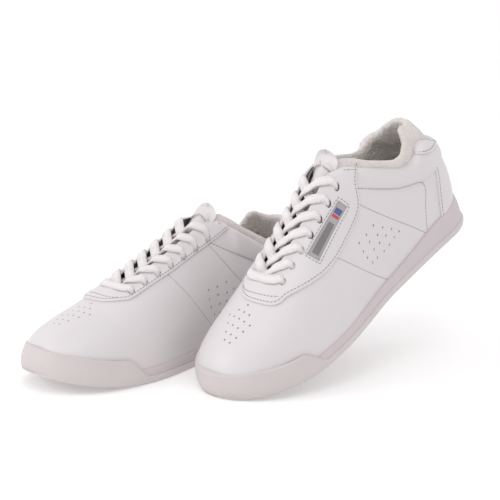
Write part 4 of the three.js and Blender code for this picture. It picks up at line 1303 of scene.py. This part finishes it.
# ---- studio ----------------------------------------------------------------------------------------------
def plain(name, colour, glow):
    made = bpy.data.materials.new(name)
    made.use_nodes = True
    shader = made.node_tree.nodes["Principled BSDF"]
    shader.inputs["Base Color"].default_value = (*colour, 1)
    shader.inputs["Roughness"].default_value = 0.9
    shader.inputs["Emission Color"].default_value = (1, 1, 1, 1)
    shader.inputs["Emission Strength"].default_value = glow
    return made


floor_mesh = bpy.data.meshes.new("floor")
REACH = 60.0
floor_mesh.from_pydata([(-REACH, -REACH, 0), (REACH, -REACH, 0), (REACH, REACH, 0), (-REACH, REACH, 0)], [],
                       [(0, 1, 2, 3)])
floor = bpy.data.objects.new("floor", floor_mesh)
bpy.context.scene.collection.objects.link(floor)
floor_mesh.materials.append(plain("pale_floor", (0.74, 0.73, 0.73), 0.27))

scene = bpy.context.scene
world = scene.world or bpy.data.worlds.new("studio")
scene.world = world
world.use_nodes = True
background = world.node_tree.nodes["Background"]
background.inputs["Color"].default_value = (1.0, 0.99, 1.0, 1)
background.inputs["Strength"].default_value = 1.0


def lamp(name, place_at, aim, size, power, colour=(1, 1, 1)):
    data = bpy.data.lights.new(name, "AREA")
    data.shape = "DISK"
    data.size, data.energy, data.color = size, power, colour
    lit = bpy.data.objects.new(name, data)
    lit.location = place_at
    lit.rotation_euler = (Vector(aim) - Vector(place_at)).to_track_quat("-Z", "Y").to_euler()
    scene.collection.objects.link(lit)


lamp("key", (0.5, -0.6, 1.5), (0.0, 0.0, 0.05), 0.8, 3)
lamp("fill", (-0.7, -1.2, 0.75), (-0.04, 0.0, 0.05), 0.7, 5.5)

AZIMUTH, ELEVATION, ROLL = math.radians(46.88), math.radians(12.29), math.radians(0.10)
camera_data = bpy.data.cameras.new("camera")
camera_data.lens, camera_data.sensor_width = 85.0, 36.0
camera_data.clip_start = 0.05
camera = bpy.data.objects.new("camera", camera_data)
back = Vector((math.sin(AZIMUTH) * math.cos(ELEVATION), -math.cos(AZIMUTH) * math.cos(ELEVATION),
               math.sin(ELEVATION)))
right_hand = (-back).cross(Vector((0, 0, 1))).normalized()
upward = back.cross(right_hand)
right_hand, upward = (right_hand * math.cos(ROLL) + upward * math.sin(ROLL),
                      upward * math.cos(ROLL) - right_hand * math.sin(ROLL))
turned = Matrix((right_hand, upward, back)).transposed().to_4x4()
camera.matrix_world = Matrix.Translation((0.6192, -0.5798, 0.2673)) @ turned
scene.collection.objects.link(camera)
scene.camera = camera
scene.view_settings.view_transform = "Standard"
scene.view_settings.look = "None"

bpy.context.view_layer.update()
